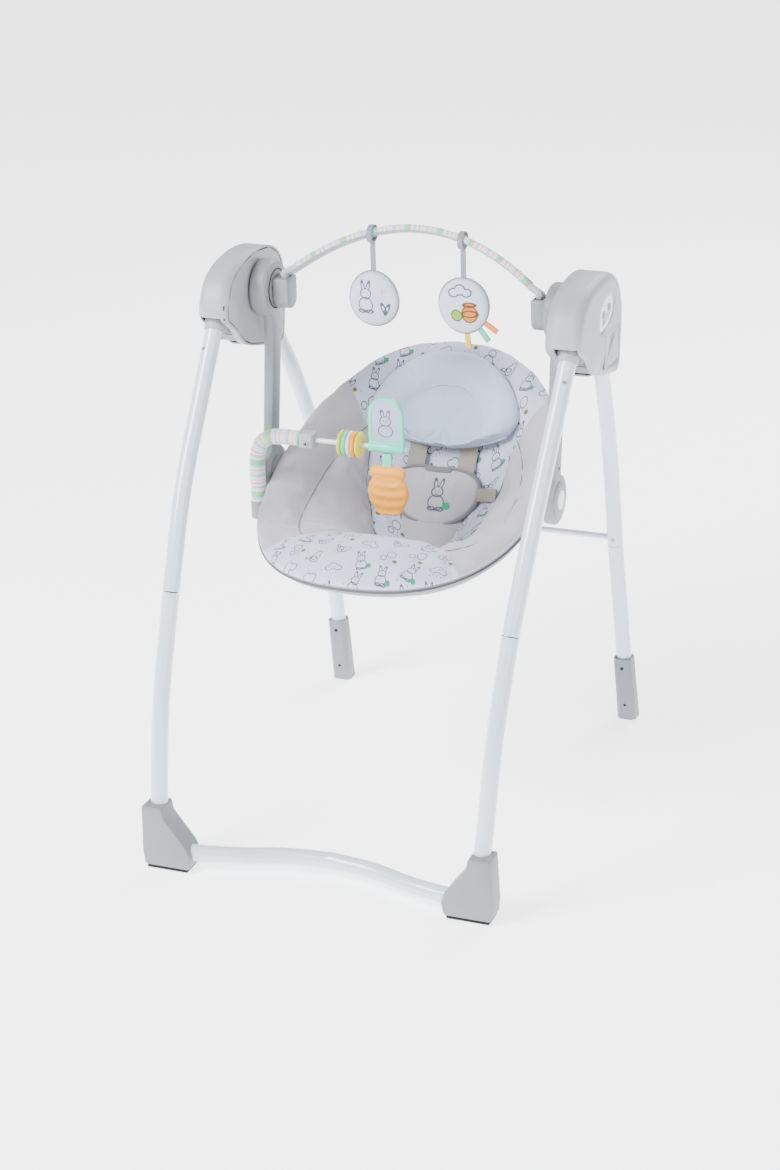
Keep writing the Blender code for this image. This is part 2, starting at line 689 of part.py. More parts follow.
# (share of the way from rim to seat bottom, bolster height, extra height at the front end, extra depth at the head end)
PAD_TOP = [(0.000, 0.0045, 0.000, 0.000), (0.020, 0.0115, 0.003, 0.000), (0.080, 0.0160, 0.012, 0.000),
           (0.160, 0.0170, 0.034, 0.002), (0.280, 0.0100, 0.066, 0.007), (0.420, 0.0030, 0.080, 0.011),
           (0.560, 0.0000, 0.066, 0.011), (0.700, 0.0000, 0.034, 0.007), (0.850, 0.0000, 0.008, 0.002)]
PAD_UNDER = [(0.000, -0.0045), (0.020, -0.0110), (0.070, -0.0140), (0.180, -0.0170), (0.420, -0.0220), (0.700, -0.0200)]


def pad_point(turn, share, lift, front, depth):
    bottom = np.array(SEAT_BOTTOM)
    _, _, normal = seat_frame()
    edge = rim_point(turn)
    toe = max(0.0, -math.sin(turn)) ** 1.5
    heel = max(0.0, math.sin(turn))
    return edge + (bottom - edge) * share + normal * (lift + front * toe - depth * heel)


def pad_loop(turns, share, lift, front=0.0, depth=0.0):
    return [tuple(pad_point(turn, share, lift, front, depth)) for turn in turns]


def seat_pad():
    """The sewn bucket: a bolstered rim round the ring tube, a sunk seat and an inclined back."""
    turns = rim_turns(44)
    loops = [pad_loop(turns, 0.92, -0.0150)]
    loops += [pad_loop(turns, share, lift) for share, lift in reversed(PAD_UNDER)]
    loops += [pad_loop(turns, *row) for row in PAD_TOP]
    pad = loft("seat_pad", loops)
    line = [tuple(rim_point(t, RING_INSET)) for t in rim_turns(40)]
    channel = as_cutter(tube_mesh("ring_channel", line, RING_R + GAP, 3, True))
    boolean(pad, channel, "DIFFERENCE")
    for side in (1, -1):
        notch = disc_x(side_name("bracket_notch", side), RECLINE_Y, RECLINE_Z, STUB_R + GAP, 0.2150 * side,
                       0.2400 * side, 16)
        boolean(pad, as_cutter(notch), "DIFFERENCE")
    return place(pad, "print_fabric")


def seat_bracket(side):
    """The seat half of a recline joint: a thin disc and its pin into the arm boss."""
    plate = disc_x(side_name("seat_bracket", side), RECLINE_Y, RECLINE_Z, 0.0240, BRACKET_X[0] * side,
                   BRACKET_X[1] * side, 24)
    pin = disc_x(side_name("recline_pin", side), RECLINE_Y, RECLINE_Z, 0.0070, (BRACKET_X[0] + 0.001) * side,
                 0.2435 * side, 20)
    boolean(plate, as_cutter(pin), "UNION")
    stub = disc_x(side_name("ring_stub", side), RECLINE_Y, RECLINE_Z, STUB_R, 0.2241 * side,
                  (BRACKET_X[0] + 0.001) * side, 16)
    boolean(plate, as_cutter(stub), "UNION")
    return place(plate, "grey_arm")


def pad_surface(turn, share):
    """A point of the upper pad surface between its rows."""
    shares = [row[0] for row in PAD_TOP]
    heights = [float(np.interp(share, shares, [row[k] for row in PAD_TOP])) for k in (1, 2, 3)]
    return pad_point(turn, share, *heights)


def back_frame():
    """Origin on the pad at the back centre line, the way up the back and the way out of it."""
    low = pad_surface(math.pi / 2, 0.85)
    high = pad_surface(math.pi / 2, 0.20)
    up = (high - low) / np.linalg.norm(high - low)
    out = np.array([0.0, -up[2], up[1]])
    return low, up, out


def back_slab(name, rows, lift, thick, finish, power=1.0):
    """A cushion on the back: rows of (height along the back, half width), domed across."""
    low, up, out = back_frame()
    outline = [(w, h) for h, w in rows] + [(-w, h) for h, w in reversed(rows)]
    mid_h = 0.5 * (rows[0][0] + rows[-1][0])
    loops = []
    for scale, depth in ((0.90, 0.0), (1.0, 0.25), (1.0, 0.6), (0.93, 0.88), (0.80, 1.0)):
        loop = []
        for w, h in outline:
            hh = mid_h + (h - mid_h) * scale
            p = low + up * hh + out * (lift + thick * depth + 1.05 * (w * scale) ** 2 * power)
            loop.append((float(p[0] + w * scale), float(p[1]), float(p[2])))
        loops.append(loop)
    return place(loft(name, loops), finish)


def head_pillow():
    rows = [(0.146, 0.036), (0.150, 0.066), (0.166, 0.108), (0.190, 0.128), (0.214, 0.131), (0.250, 0.110),
            (0.282, 0.074), (0.302, 0.034)]
    return back_slab("head_pillow", rows, 0.0050, 0.022, "pillow_fabric", 1.05)


def harness_pad():
    rows = [(0.012, 0.022), (0.022, 0.047), (0.044, 0.069), (0.070, 0.077), (0.092, 0.071), (0.104, 0.053),
            (0.108, 0.032)]
    return back_slab("harness_pad", rows, 0.0060, 0.013, "pad_fabric", 0.35)


def shoulder_strap(side):
    low, up, out = back_frame()
    loops = []
    for h in (0.1105, 0.127, 0.1435):
        loop = []
        for w, d in ((-0.0155, 0.0), (0.0155, 0.0), (0.0155, 0.0025), (-0.0155, 0.0025)):
            p = low + up * h + out * (0.0030 + d)
            loop.append((float(0.0440 * side + w), float(p[1]), float(p[2])))
        loops.append(loop)
    return place(loft(side_name("shoulder_strap", side), loops), "webbing")


def crotch_strap():
    """The tongue that comes up between the legs to the harness pad."""
    low, up, out = back_frame()
    loops = []
    for h, w, d in ((-0.027, 0.036, 0.0215), (-0.012, 0.045, 0.0195), (0.0105, 0.054, 0.0155)):
        p = low + up * h + out * d
        q = p + out * 0.0045
        loops.append([(-w, p[1], p[2]), (w, p[1], p[2]), (w, q[1], q[2]), (-w, q[1], q[2])])
    return place(loft("crotch_strap", loops), "pad_fabric")


def waist_strap(side):
    low, up, out = back_frame()
    loops = []
    for x, d in ((0.080, 0.0190), (0.092, 0.0230), (0.102, 0.0290)):
        loop = []
        for h, t in ((0.058, 0.0), (0.080, 0.0), (0.080, 0.0022), (0.058, 0.0022)):
            p = low + up * h + out * (d + t)
            loop.append((x * side, float(p[1]), float(p[2])))
        loops.append(loop)
    return place(loft(side_name("waist_strap", side), loops), "webbing")


# --- toy arm ---
def toy_arm_socket():
    """A cup in front of the left recline joint on a flat tab of the seat."""
    cup = tube_mesh("toy_arm_socket", [(TOY_TUBE_X, TOY_Y, 0.4500), (TOY_TUBE_X, TOY_Y, 0.4790)], 0.0138, 4)
    tab = prism_x("socket_tab", [(-0.0060, 0.4560), (0.0140, 0.4540), (0.0560, 0.4760), (0.0560, 0.4900),
                                 (0.0480, 0.4920), (0.0000, 0.4740)], -0.2323, -0.2293)
    boolean(cup, as_cutter(tab), "UNION")
    bore = tube_mesh("socket_cup_bore", [(TOY_TUBE_X, TOY_Y, 0.4580), (TOY_TUBE_X, TOY_Y, 0.4900)],
                     TOY_TUBE_R + GAP, 5)
    boolean(cup, as_cutter(bore), "DIFFERENCE")
    return place(cup, "grey_arm")


TOY_PATH = [(TOY_TUBE_X, TOY_Y, 0.4583), (TOY_TUBE_X, TOY_Y, 0.5420), (-0.2380, TOY_Y, 0.5690),
            (-0.2220, TOY_Y, 0.5870), (-0.1960, TOY_Y, ROD_Z), (-0.1640, TOY_Y, ROD_Z)]


def toy_line():
    """The bent tube line, straight inside the socket and at the elbow."""
    line = smooth_path(TOY_PATH[1:], 3)
    return [TOY_PATH[0]] + line


def toy_arm_tube():
    return place(tube("toy_arm_tube", toy_line(), TOY_TUBE_R, 5), "stripe_fabric")


def toy_arm_elbow():
    outline = [(TOY_Y - 0.0130, ROD_Z - 0.0130), (TOY_Y + 0.0130, ROD_Z - 0.0130),
               (TOY_Y + 0.0130, ROD_Z + 0.0130), (TOY_Y - 0.0130, ROD_Z + 0.0130)]
    clip = prism_x("toy_arm_elbow", outline, -0.1640 + GAP, -0.1380)
    bevel(clip, 0.004, 2)
    return place(clip, "grey_housing")


def toy_rod():
    rod = disc_x("toy_rod", TOY_Y, ROD_Z, ROD_R, -0.1380 + GAP, 0.0160, 16)
    return place(rod, "white_plastic")


RING_FINISH = ["yellow", "mint", "white_plastic", "orange", "yellow"]
RING_X0 = -0.0920


def spin_ring(index):
    x = RING_X0 + RING_PITCH * index
    half = 0.0033
    profile = [(x - half, 0.0075), (x - half, 0.0180), (x - half * 0.5, 0.0215), (x + half * 0.5, 0.0215),
               (x + half, 0.0180), (x + half, 0.0075), (x + half * 0.4, 0.0047), (x - half * 0.4, 0.0047)]
    return place(turned_x(f"spin_ring_{index + 1}", TOY_Y, ROD_Z, profile, 20), RING_FINISH[index])


FRAME_X = (-0.0460, 0.0140)


def picture_frame():
    """A barrel on the rod with an arched picture board standing on it."""
    x0, x1 = FRAME_X
    barrel = disc_x("picture_frame", TOY_Y, ROD_Z, 0.0080, x0, x1, 20)
    arch = [(x0 + 0.001, ROD_Z), (x1 - 0.001, ROD_Z), (x1 - 0.001, ROD_Z + 0.0560)]
    mid = 0.5 * (x0 + x1)
    half = 0.5 * (x1 - x0) - 0.001
    for i in range(1, 8):
        turn = math.pi * i / 8
        arch.append((mid + half * math.cos(turn), ROD_Z + 0.0560 + half * math.sin(turn) * 0.95))
    arch.append((x0 + 0.001, ROD_Z + 0.0560))
    board = loft("frame_board", [[(x, y, z) for x, z in arch] for y in (TOY_Y - 0.0040, TOY_Y + 0.0040)])
    boolean(barrel, as_cutter(board), "UNION")
    for y0, y1 in ((TOY_Y - 0.010, TOY_Y - 0.0028), (TOY_Y + 0.0028, TOY_Y + 0.010)):
        inner = [(mid + (x - mid) * 0.80, ROD_Z + 0.0120 + (z - ROD_Z) * 0.80) for x, z in arch]
        recess = loft("frame_recess", [[(x, y, z) for x, z in inner] for y in (y0, y1)])
        boolean(barrel, as_cutter(recess), "DIFFERENCE")
    bore = disc_x("frame_bore", TOY_Y, ROD_Z, ROD_R + GAP, x0 - 0.01, x1 + 0.01, 16)
    boolean(barrel, as_cutter(bore), "DIFFERENCE")
    return place(barrel, "mint")


def teether():
    """A soft jar-shaped teether under the picture frame, with its loop."""
    mid = 0.5 * (FRAME_X[0] + FRAME_X[1])
    top = ROD_Z - 0.0150
    profile = [(0.0, 0.0170), (-0.006, 0.0290), (-0.014, 0.0300), (-0.021, 0.0260), (-0.029, 0.0315),
               (-0.042, 0.0340), (-0.055, 0.0320), (-0.066, 0.0270), (-0.076, 0.0230), (-0.082, 0.0160)]
    outline = [(mid + w, top - 0.016 + h) for h, w in profile]
    outline += [(mid - w, top - 0.016 + h) for h, w in reversed(profile)]
    loops = []
    for scale, y in ((0.90, -0.0075), (1.0, -0.0040), (1.0, 0.0040), (0.90, 0.0075)):
        centre_z = top - 0.057
        loops.append([(mid + (x - mid) * scale, TOY_Y + y, centre_z + (z - centre_z) * scale)
                      for x, z in outline])
    jar = loft("teether", loops)
    link = loft("teether_link", [[(x, y, z) for x, z in
                                  ((mid - 0.0080, top - 0.022), (mid + 0.0080, top - 0.022),
                                   (mid + 0.0080, top + 0.0060), (mid - 0.0080, top + 0.0060))]
                                 for y in (TOY_Y - 0.0030, TOY_Y + 0.0030)])
    boolean(jar, as_cutter(link), "UNION")
    clear = disc_x("link_clearance", TOY_Y, ROD_Z, 0.0083, mid - 0.05, mid + 0.05, 24)
    boolean(jar, as_cutter(clear), "DIFFERENCE")
    return place(jar, "orange")


# --- pivots ---
def pivot(name, at, parts, parent=None):
    """An empty on a joint axis that carries its parts."""
    empty = bpy.data.objects.new(name, None)
    empty.location = at
    empty.empty_display_size = 0.02
    collection("baby_swing").objects.link(empty)
    if parent is not None:
        empty.parent = parent
        empty.matrix_parent_inverse = Matrix.Translation(Vector(parent["at"])).inverted()
    empty["at"] = at
    for part in parts:
        part.parent = empty
        part.matrix_parent_inverse = Matrix.Translation(Vector(at)).inverted()
    return empty


def build():
    clear_scene()
    both = (-1, 1)
    for side in both:
        rear_leg_tube(side)
        rear_lower_tube(side)
        rear_foot(side)
        housing_shell(side)
        housing_cover(side)
        pivot_axle(side)
    rear_crossbar()
    control_panel()
    battery_pack()
    drive_motor()
    circuit_board()
    front = [front_base_tube()]
    for side in both:
        front += [front_leg_tube(side), front_leg_socket(side), front_foot(side), front_sole(side)]
    pivot("fold_axis", (0.0, HUB_Y, HUB_Z), front)
    pivot("speed_button_axis", (0.316, *BUTTONS[0]), [control_button("speed_button", *BUTTONS[0])])
    pivot("music_button_axis", (0.316, *BUTTONS[1]), [control_button("music_button", *BUTTONS[1])])
    pivot("door_axis", (0.3158, 0.1230, 0.7240), [battery_door()])

    swing = pivot("swing_axis", (0.0, HUB_Y, HUB_Z), [hanger_arm(-1), hanger_arm(1), recline_cap()])
    bar = pivot("toy_bar_axis", (0.0, HUB_Y, HUB_Z),
                [toy_bar_socket(-1), toy_bar_socket(1), toy_bar(), toy_bar_cover()], swing)
    for side in both:
        top = bar_point(PLUSH_X)
        pivot(side_name("plush_axis", side), (PLUSH_X * side, top[1], top[2]), [plush_toy(side)], bar)
    seat = [seat_ring(), seat_pad(), head_pillow(), harness_pad(), crotch_strap(), toy_arm_socket()]
    for side in both:
        seat += [seat_bracket(side), shoulder_strap(side), waist_strap(side)]
    seat_axis = pivot("recline_axis", (0.0, RECLINE_Y, RECLINE_Z), seat, swing)
    arm = pivot("toy_arm_axis", (TOY_TUBE_X, TOY_Y, 0.4500), [toy_arm_tube(), toy_arm_elbow(), toy_rod()],
                seat_axis)
    for i in range(5):
        pivot(f"ring_axis_{i + 1}", (RING_X0 + RING_PITCH * i, TOY_Y, ROD_Z), [spin_ring(i)], arm)
    flip = pivot("frame_axis", (FRAME_X[0], TOY_Y, ROD_Z), [picture_frame()], arm)
    pivot("teether_axis", (FRAME_X[0], TOY_Y, ROD_Z), [teether()], flip)


build()
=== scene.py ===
"""Looks of a portable baby swing: enamelled tubes, moulded hubs and a sewn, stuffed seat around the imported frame.

Metres, +Z up, the front of the swing faces -Y and its right side is +X.
"""

from __future__ import annotations

import logging
import math
from collections.abc import Callable, Sequence
from dataclasses import dataclass, field
from enum import Enum

import bmesh
import bpy
import numpy as np
from mathutils import Matrix, Vector, noise


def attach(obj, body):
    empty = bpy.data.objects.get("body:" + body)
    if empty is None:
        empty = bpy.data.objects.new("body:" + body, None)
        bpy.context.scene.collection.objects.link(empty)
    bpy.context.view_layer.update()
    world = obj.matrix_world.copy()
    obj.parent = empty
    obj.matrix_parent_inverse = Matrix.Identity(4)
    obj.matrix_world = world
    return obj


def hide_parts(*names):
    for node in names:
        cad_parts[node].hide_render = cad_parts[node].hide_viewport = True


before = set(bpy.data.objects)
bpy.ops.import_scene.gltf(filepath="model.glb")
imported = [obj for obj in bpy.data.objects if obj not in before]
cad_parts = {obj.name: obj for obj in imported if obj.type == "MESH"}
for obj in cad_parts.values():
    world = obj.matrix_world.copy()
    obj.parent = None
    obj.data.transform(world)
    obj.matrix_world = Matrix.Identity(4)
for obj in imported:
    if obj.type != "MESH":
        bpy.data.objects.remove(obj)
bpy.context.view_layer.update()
LOG = logging.getLogger("baby_swing")

MM = 0.001
UV_NAME = "cloth"
PIN_GROUP = "seams"
Point2 = tuple[float, float]
Shape = Callable[[float, float], Vector]


# --- finishes ---
def linear(colour: str) -> tuple[float, float, float, float]:
    """Turns an sRGB hex colour to the linear colour that shaders take.

    Args:
        colour: six hex digits after a hash sign.

    Returns:
        Linear red, green and blue with an alpha of 1.
    """
    parts = [int(colour[i:i + 2], 16) / 255.0 for i in (1, 3, 5)]
    red, green, blue = (c / 12.92 if c <= 0.04045 else ((c + 0.055) / 1.055) ** 2.4 for c in parts)
    return red, green, blue, 1.0


def add_node(tree: bpy.types.NodeTree, kind: str, inputs: dict | None = None, **settings: object) -> bpy.types.Node:
    """Adds one shader node.

    Args:
        tree: the material's node tree.
        kind: the node's type name.
        inputs: socket names or numbers with their values, or the outputs linked to them.
        settings: properties of the node itself.

    Returns:
        The new node.
    """
    node = tree.nodes.new(kind)
    for name, value in settings.items():
        setattr(node, name, value)
    for socket, value in (inputs or {}).items():
        if isinstance(value, bpy.types.NodeSocket):
            tree.links.new(value, node.inputs[socket])
        else:
            node.inputs[socket].default_value = value
    return node


def wave_scale(spacing: float) -> float:
    """Returns the Wave Texture scale whose bands lie the given metres apart."""
    return 2.0 * math.pi / 20.0 / spacing


@dataclass(frozen=True)
class Finish:
    """A plain surface; the kinds below add what their process leaves on it."""

    name: str
    colour: str
    roughness: float = 0.5
    ior: float = 1.5
    mottle: float = 0.03
    mottle_size: float = 0.05

    def material(self) -> bpy.types.Material:
        """Returns the finish as a Blender material, made once."""
        found = bpy.data.materials.get(self.name)
        if found is None:
            found = bpy.data.materials.new(self.name)
            found.use_nodes = True
            tree = found.node_tree
            shader = tree.nodes["Principled BSDF"]
            shader.inputs["Roughness"].default_value = self.roughness
            shader.inputs["IOR"].default_value = self.ior
            found.diffuse_color = linear(self.colour)
            self.paint(tree, shader)
        return found

    def ground(self, tree: bpy.types.NodeTree, colour: bpy.types.NodeSocket | None = None) -> bpy.types.NodeSocket:
        """Returns the colour with the faint unevenness of a real surface.

        Args:
            tree: the material's node tree.
            colour: a colour to vary in place of the finish's own.
        """
        spot = add_node(tree, "ShaderNodeTexCoord").outputs["Object"]
        cloud = add_node(tree, "ShaderNodeTexNoise", {"Vector": spot, "Scale": 1.0 / self.mottle_size, "Detail": 3.0})
        level = add_node(tree, "ShaderNodeMapRange", {"Value": cloud.outputs["Fac"], "From Min": 0.3, "From Max": 0.7,
                                                      "To Min": 1.0 - self.mottle, "To Max": 1.0 + self.mottle})
        base = colour or add_node(tree, "ShaderNodeRGB").outputs[0]
        if colour is None:
            base.default_value = linear(self.colour)
        scaled = add_node(tree, "ShaderNodeVectorMath", {0: base, "Scale": level.outputs["Result"]},
                          operation="SCALE")
        return scaled.outputs["Vector"]

    def bump(self, tree: bpy.types.NodeTree, shader: bpy.types.Node, height: bpy.types.NodeSocket, depth: float,
             strength: float = 1.0) -> None:
        """Feeds a height in units of depth, in metres, to the shader's normal."""
        relief = add_node(tree, "ShaderNodeBump", {"Height": height, "Distance": depth, "Strength": strength})
        tree.links.new(relief.outputs["Normal"], shader.inputs["Normal"])

    def paint(self, tree: bpy.types.NodeTree, shader: bpy.types.Node) -> None:
        """Adds the finish's own nodes."""
        tree.links.new(self.ground(tree), shader.inputs["Base Color"])


@dataclass(frozen=True)
class Enamel(Finish):
    """Baked enamel on steel tube: glossy, with the slow ripple of a sprayed coat."""

    ripple: float = 0.006

    def paint(self, tree: bpy.types.NodeTree, shader: bpy.types.Node) -> None:
        """Adds the clear coat and its ripple."""
        super().paint(tree, shader)
        shader.inputs["Coat Weight"].default_value = 0.6
        shader.inputs["Coat Roughness"].default_value = 0.08
        spot = add_node(tree, "ShaderNodeTexCoord").outputs["Object"]
        peel = add_node(tree, "ShaderNodeTexNoise", {"Vector": spot, "Scale": 1.0 / self.ripple, "Detail": 2.0})
        self.bump(tree, shader, peel.outputs["Fac"], 0.00008)


@dataclass(frozen=True)
class Moulded(Finish):
    """Injection-moulded plastic: an even colour with the fine spark-eroded grain of the mould."""

    grain: float = 0.0011
    grain_depth: float = 0.00006
    coat: float = 0.0

    def paint(self, tree: bpy.types.NodeTree, shader: bpy.types.Node) -> None:
        """Adds the mould grain; 1.1 mm is coarser than real so that it still shows."""
        super().paint(tree, shader)
        shader.inputs["Coat Weight"].default_value = self.coat
        spot = add_node(tree, "ShaderNodeTexCoord").outputs["Object"]
        grit = add_node(tree, "ShaderNodeTexNoise", {"Vector": spot, "Scale": 1.0 / self.grain, "Detail": 2.0})
        self.bump(tree, shader, grit.outputs["Fac"], self.grain_depth)


@dataclass(frozen=True)
class Bare(Finish):
    """Turned or pressed steel, lightly brushed."""

    def paint(self, tree: bpy.types.NodeTree, shader: bpy.types.Node) -> None:
        """Adds metal and fine brush marks."""
        super().paint(tree, shader)
        shader.inputs["Metallic"].default_value = 1.0
        spot = add_node(tree, "ShaderNodeTexCoord").outputs["Object"]
        marks = add_node(tree, "ShaderNodeTexNoise", {"Vector": spot, "Scale": 900.0, "Detail": 1.0})
        self.bump(tree, shader, marks.outputs["Fac"], 0.00003)


@dataclass(frozen=True)
class Velour(Finish):
    """Brushed polyester velour: a short pile whose nap lies in lighter and darker strokes."""

    pile: float = 0.0016
    sheen: float = 0.35

    def paint(self, tree: bpy.types.NodeTree, shader: bpy.types.Node) -> None:
        """Adds the nap, the pile and its sheen."""
        spot = add_node(tree, "ShaderNodeTexCoord").outputs["Object"]
        stroke = add_node(tree, "ShaderNodeTexNoise", {"Vector": spot, "Scale": 16.0, "Detail": 4.0,
                                                       "Roughness": 0.6, "Distortion": 0.8})
        nap = add_node(tree, "ShaderNodeMix", {"Factor": stroke.outputs["Fac"], "A": self.ground(tree),
                                               "B": linear(self.colour)[:3]}, data_type="VECTOR")
        pile = add_node(tree, "ShaderNodeTexNoise", {"Vector": spot, "Scale": 1.0 / self.pile, "Detail": 3.0})
        shade = add_node(tree, "ShaderNodeMapRange", {"Value": pile.outputs["Fac"], "From Min": 0.25,
                                                      "From Max": 0.75, "To Min": 0.93, "To Max": 1.05})
        lit = add_node(tree, "ShaderNodeVectorMath", {0: nap.outputs["Result"], "Scale": shade.outputs["Result"]},
                       operation="SCALE")
        tree.links.new(lit.outputs["Vector"], shader.inputs["Base Color"])
        shader.inputs["Sheen Weight"].default_value = self.sheen
        shader.inputs["Sheen Roughness"].default_value = 0.45
        self.bump(tree, shader, pile.outputs["Fac"], 0.00035)


@dataclass(frozen=True)
class Woven(Finish):
    """Plain-woven cloth: threads over and under, seen as a fine grid of bumps."""

    thread: float = 0.0017
    sheen: float = 0.2
    depth: float = 0.00022

    def cloth_spot(self, tree: bpy.types.NodeTree) -> bpy.types.NodeSocket:
        """Returns the place on the piece's own cloth map, in metres."""
        return add_node(tree, "ShaderNodeUVMap", uv_map=UV_NAME).outputs["UV"]

    def weave(self, tree: bpy.types.NodeTree, shader: bpy.types.Node) -> None:
        """Adds the thread relief; the spacing is twice the real one so that it still shows."""
        spot = self.cloth_spot(tree)
        threads = [add_node(tree, "ShaderNodeTexWave", {"Vector": spot, "Scale": wave_scale(self.thread),
                                                        "Distortion": 0.6, "Detail": 1.0}, bands_direction=way)
                   for way in ("X", "Y")]
        crossing = add_node(tree, "ShaderNodeMath", {0: threads[0].outputs["Fac"], 1: threads[1].outputs["Fac"]},
                            operation="MULTIPLY")
        shader.inputs["Sheen Weight"].default_value = self.sheen
        shader.inputs["Sheen Roughness"].default_value = 0.5
        self.bump(tree, shader, crossing.outputs[0], self.depth)

    def paint(self, tree: bpy.types.NodeTree, shader: bpy.types.Node) -> None:
        """Adds the weave to the cloth's colour."""
        super().paint(tree, shader)
        self.weave(tree, shader)


@dataclass(frozen=True)
class Webbing(Woven):
    """Polyester webbing: ribs that run across the strap."""

    rib: float = 0.0026

    def weave(self, tree: bpy.types.NodeTree, shader: bpy.types.Node) -> None:
        """Adds the ribs, one per 2.6 mm along the strap."""
        ribs = add_node(tree, "ShaderNodeTexWave", {"Vector": self.cloth_spot(tree), "Scale": wave_scale(self.rib),
                                                    "Distortion": 1.2, "Detail": 2.0}, bands_direction="X")
        self.bump(tree, shader, ribs.outputs["Fac"], 0.0003)


@dataclass(frozen=True)
class Striped(Woven):
    """Knitted sleeve cloth with bands across its length."""

    bands: tuple[tuple[str, float], ...] = ()

    def paint(self, tree: bpy.types.NodeTree, shader: bpy.types.Node) -> None:
        """Adds the bands, each a colour and its width in millimetres, repeated along the map's first direction."""
        repeat = sum(width for _, width in self.bands) * MM
        along = add_node(tree, "ShaderNodeSeparateXYZ", {"Vector": self.cloth_spot(tree)}).outputs["X"]
        turns = add_node(tree, "ShaderNodeMath", {0: along, 1: repeat}, operation="DIVIDE")
        share = add_node(tree, "ShaderNodeMath", {0: turns.outputs[0]}, operation="FRACT")
        ramp = add_node(tree, "ShaderNodeValToRGB", {"Fac": share.outputs[0]})
        ramp.color_ramp.interpolation = "CONSTANT"
        start = 0.0
        for i, (colour, width) in enumerate(self.bands):
            stops = ramp.color_ramp.elements
            stop = stops[0] if i == 0 else stops.new(start)
            stop.color = linear(colour)
            start += width * MM / repeat
        ramp.color_ramp.elements[-1].position = 0.9999
        ramp.color_ramp.elements[-1].color = linear(self.bands[0][0])
        tree.links.new(self.ground(tree, ramp.outputs["Color"]), shader.inputs["Base Color"])
        self.weave(tree, shader)


class Ink(Enum):
    """How a mark is drawn."""

    LINE = "line"
    FILL = "fill"


@dataclass(frozen=True)
class Oval:
    """An oval in millimetres: its centre, its half sizes and its turn in degrees."""

    x: float
    y: float
    rx: float
    ry: float
    turn: float = 0.0

    def distance(self, tree: bpy.types.NodeTree, spot: bpy.types.NodeSocket) -> bpy.types.NodeSocket:
        """Returns how far outside the oval a spot lies, roughly, in millimetres."""
        placed = add_node(tree, "ShaderNodeMapping",
                          {"Vector": spot, "Location": (self.x, self.y, 0.0),
                           "Rotation": (0.0, 0.0, math.radians(self.turn)), "Scale": (self.rx, self.ry, 1.0)},
                          vector_type="TEXTURE")
        size = add_node(tree, "ShaderNodeVectorMath", {0: placed.outputs["Vector"]}, operation="LENGTH")
        reach = min(self.rx, self.ry)
        return add_node(tree, "ShaderNodeMath", {0: size.outputs["Value"], 1: reach, 2: -reach},
                        operation="MULTIPLY_ADD").outputs[0]


@dataclass(frozen=True)
class Mark:
    """Ovals drawn together: a line round all of them, or one filled patch."""

    ink: Ink
    colour: str
    ovals: tuple[Oval, ...]
    width: float = 0.6

    def mask(self, tree: bpy.types.NodeTree, spot: bpy.types.NodeSocket) -> bpy.types.NodeSocket:
        """Returns 1 on the ink and 0 off it, with an edge as soft as a print on cloth."""
        nearest = self.ovals[0].distance(tree, spot)
        for oval in self.ovals[1:]:
            nearest = add_node(tree, "ShaderNodeMath", {0: nearest, 1: oval.distance(tree, spot)},
                               operation="MINIMUM").outputs[0]
        low, high = -0.3, 0.3
        if self.ink is Ink.LINE:
            nearest = add_node(tree, "ShaderNodeMath", {0: nearest}, operation="ABSOLUTE").outputs[0]
            low, high = self.width * 0.6, self.width * 1.5
        return add_node(tree, "ShaderNodeMapRange", {"Value": nearest, "From Min": low, "From Max": high,
                                                     "To Min": 1.0, "To Max": 0.0}).outputs["Result"]


INK = "#41475B"
TEAL = "#2A8767"
OLIVE = "#63652D"
OCHRE = "#BB7823"

RABBIT = (
    Mark(Ink.LINE, INK, (Oval(0, -7, 8.2, 7.6),)),
    Mark(Ink.LINE, INK, (Oval(0, 4, 6.2, 5.2), Oval(-3.2, 12, 1.9, 5.4, 12), Oval(3.4, 12, 1.9, 5.4, -14))),
    Mark(Ink.LINE, INK, (Oval(-4.2, -13.2, 3.4, 1.8),)),
    Mark(Ink.LINE, INK, (Oval(4.6, -13.2, 3.4, 1.8),)),
    Mark(Ink.FILL, INK, (Oval(-2, 4.8, 0.6, 0.6), Oval(2.2, 4.8, 0.6, 0.6), Oval(0.1, 2.9, 0.8, 0.5))),
    Mark(Ink.FILL, TEAL, (Oval(11.4, -9.5, 3.9, 3.9),)),
)
CLOUD = (
    Mark(Ink.LINE, INK, (Oval(-8, 0, 5.5, 4.5), Oval(-1.5, 4, 6.5, 6.0), Oval(6.5, 1, 6.0, 5.0))),
    Mark(Ink.FILL, INK, (Oval(-6, -8.5, 0.5, 2.0, -20), Oval(-0.5, -9.5, 0.5, 2.0, -20), Oval(5, -8.5, 0.5, 2.0, -20))),
)
BALLOON = (
    Mark(Ink.LINE, INK, (Oval(2, 6, 6.4, 7.8),)),
    Mark(Ink.FILL, INK, (Oval(1.0, -9, 0.35, 7.5, -8),)),
    Mark(Ink.LINE, INK, (Oval(-8, -4, 4.2, 5.2, 10),)),
    Mark(Ink.FILL, OLIVE, (Oval(9.5, -8.5, 3.7, 3.5),)),
)
BIRD = (
    Mark(Ink.LINE, INK, (Oval(0, 0, 8.6, 6.2, 14), Oval(-10, 3.4, 4.2, 1.8, -24), Oval(7.6, 6.2, 4.1, 3.8))),
    Mark(Ink.LINE, INK, (Oval(-1.5, 0.6, 4.6, 2.7, -18),)),
    Mark(Ink.FILL, INK, (Oval(8.7, 7.2, 0.7, 0.7), Oval(-0.5, -9, 0.4, 2.8, 6), Oval(3.2, -8.6, 0.4, 2.8, 6))),
    Mark(Ink.FILL, OCHRE, (Oval(12.6, 5.6, 1.8, 0.9, -10),)),
)
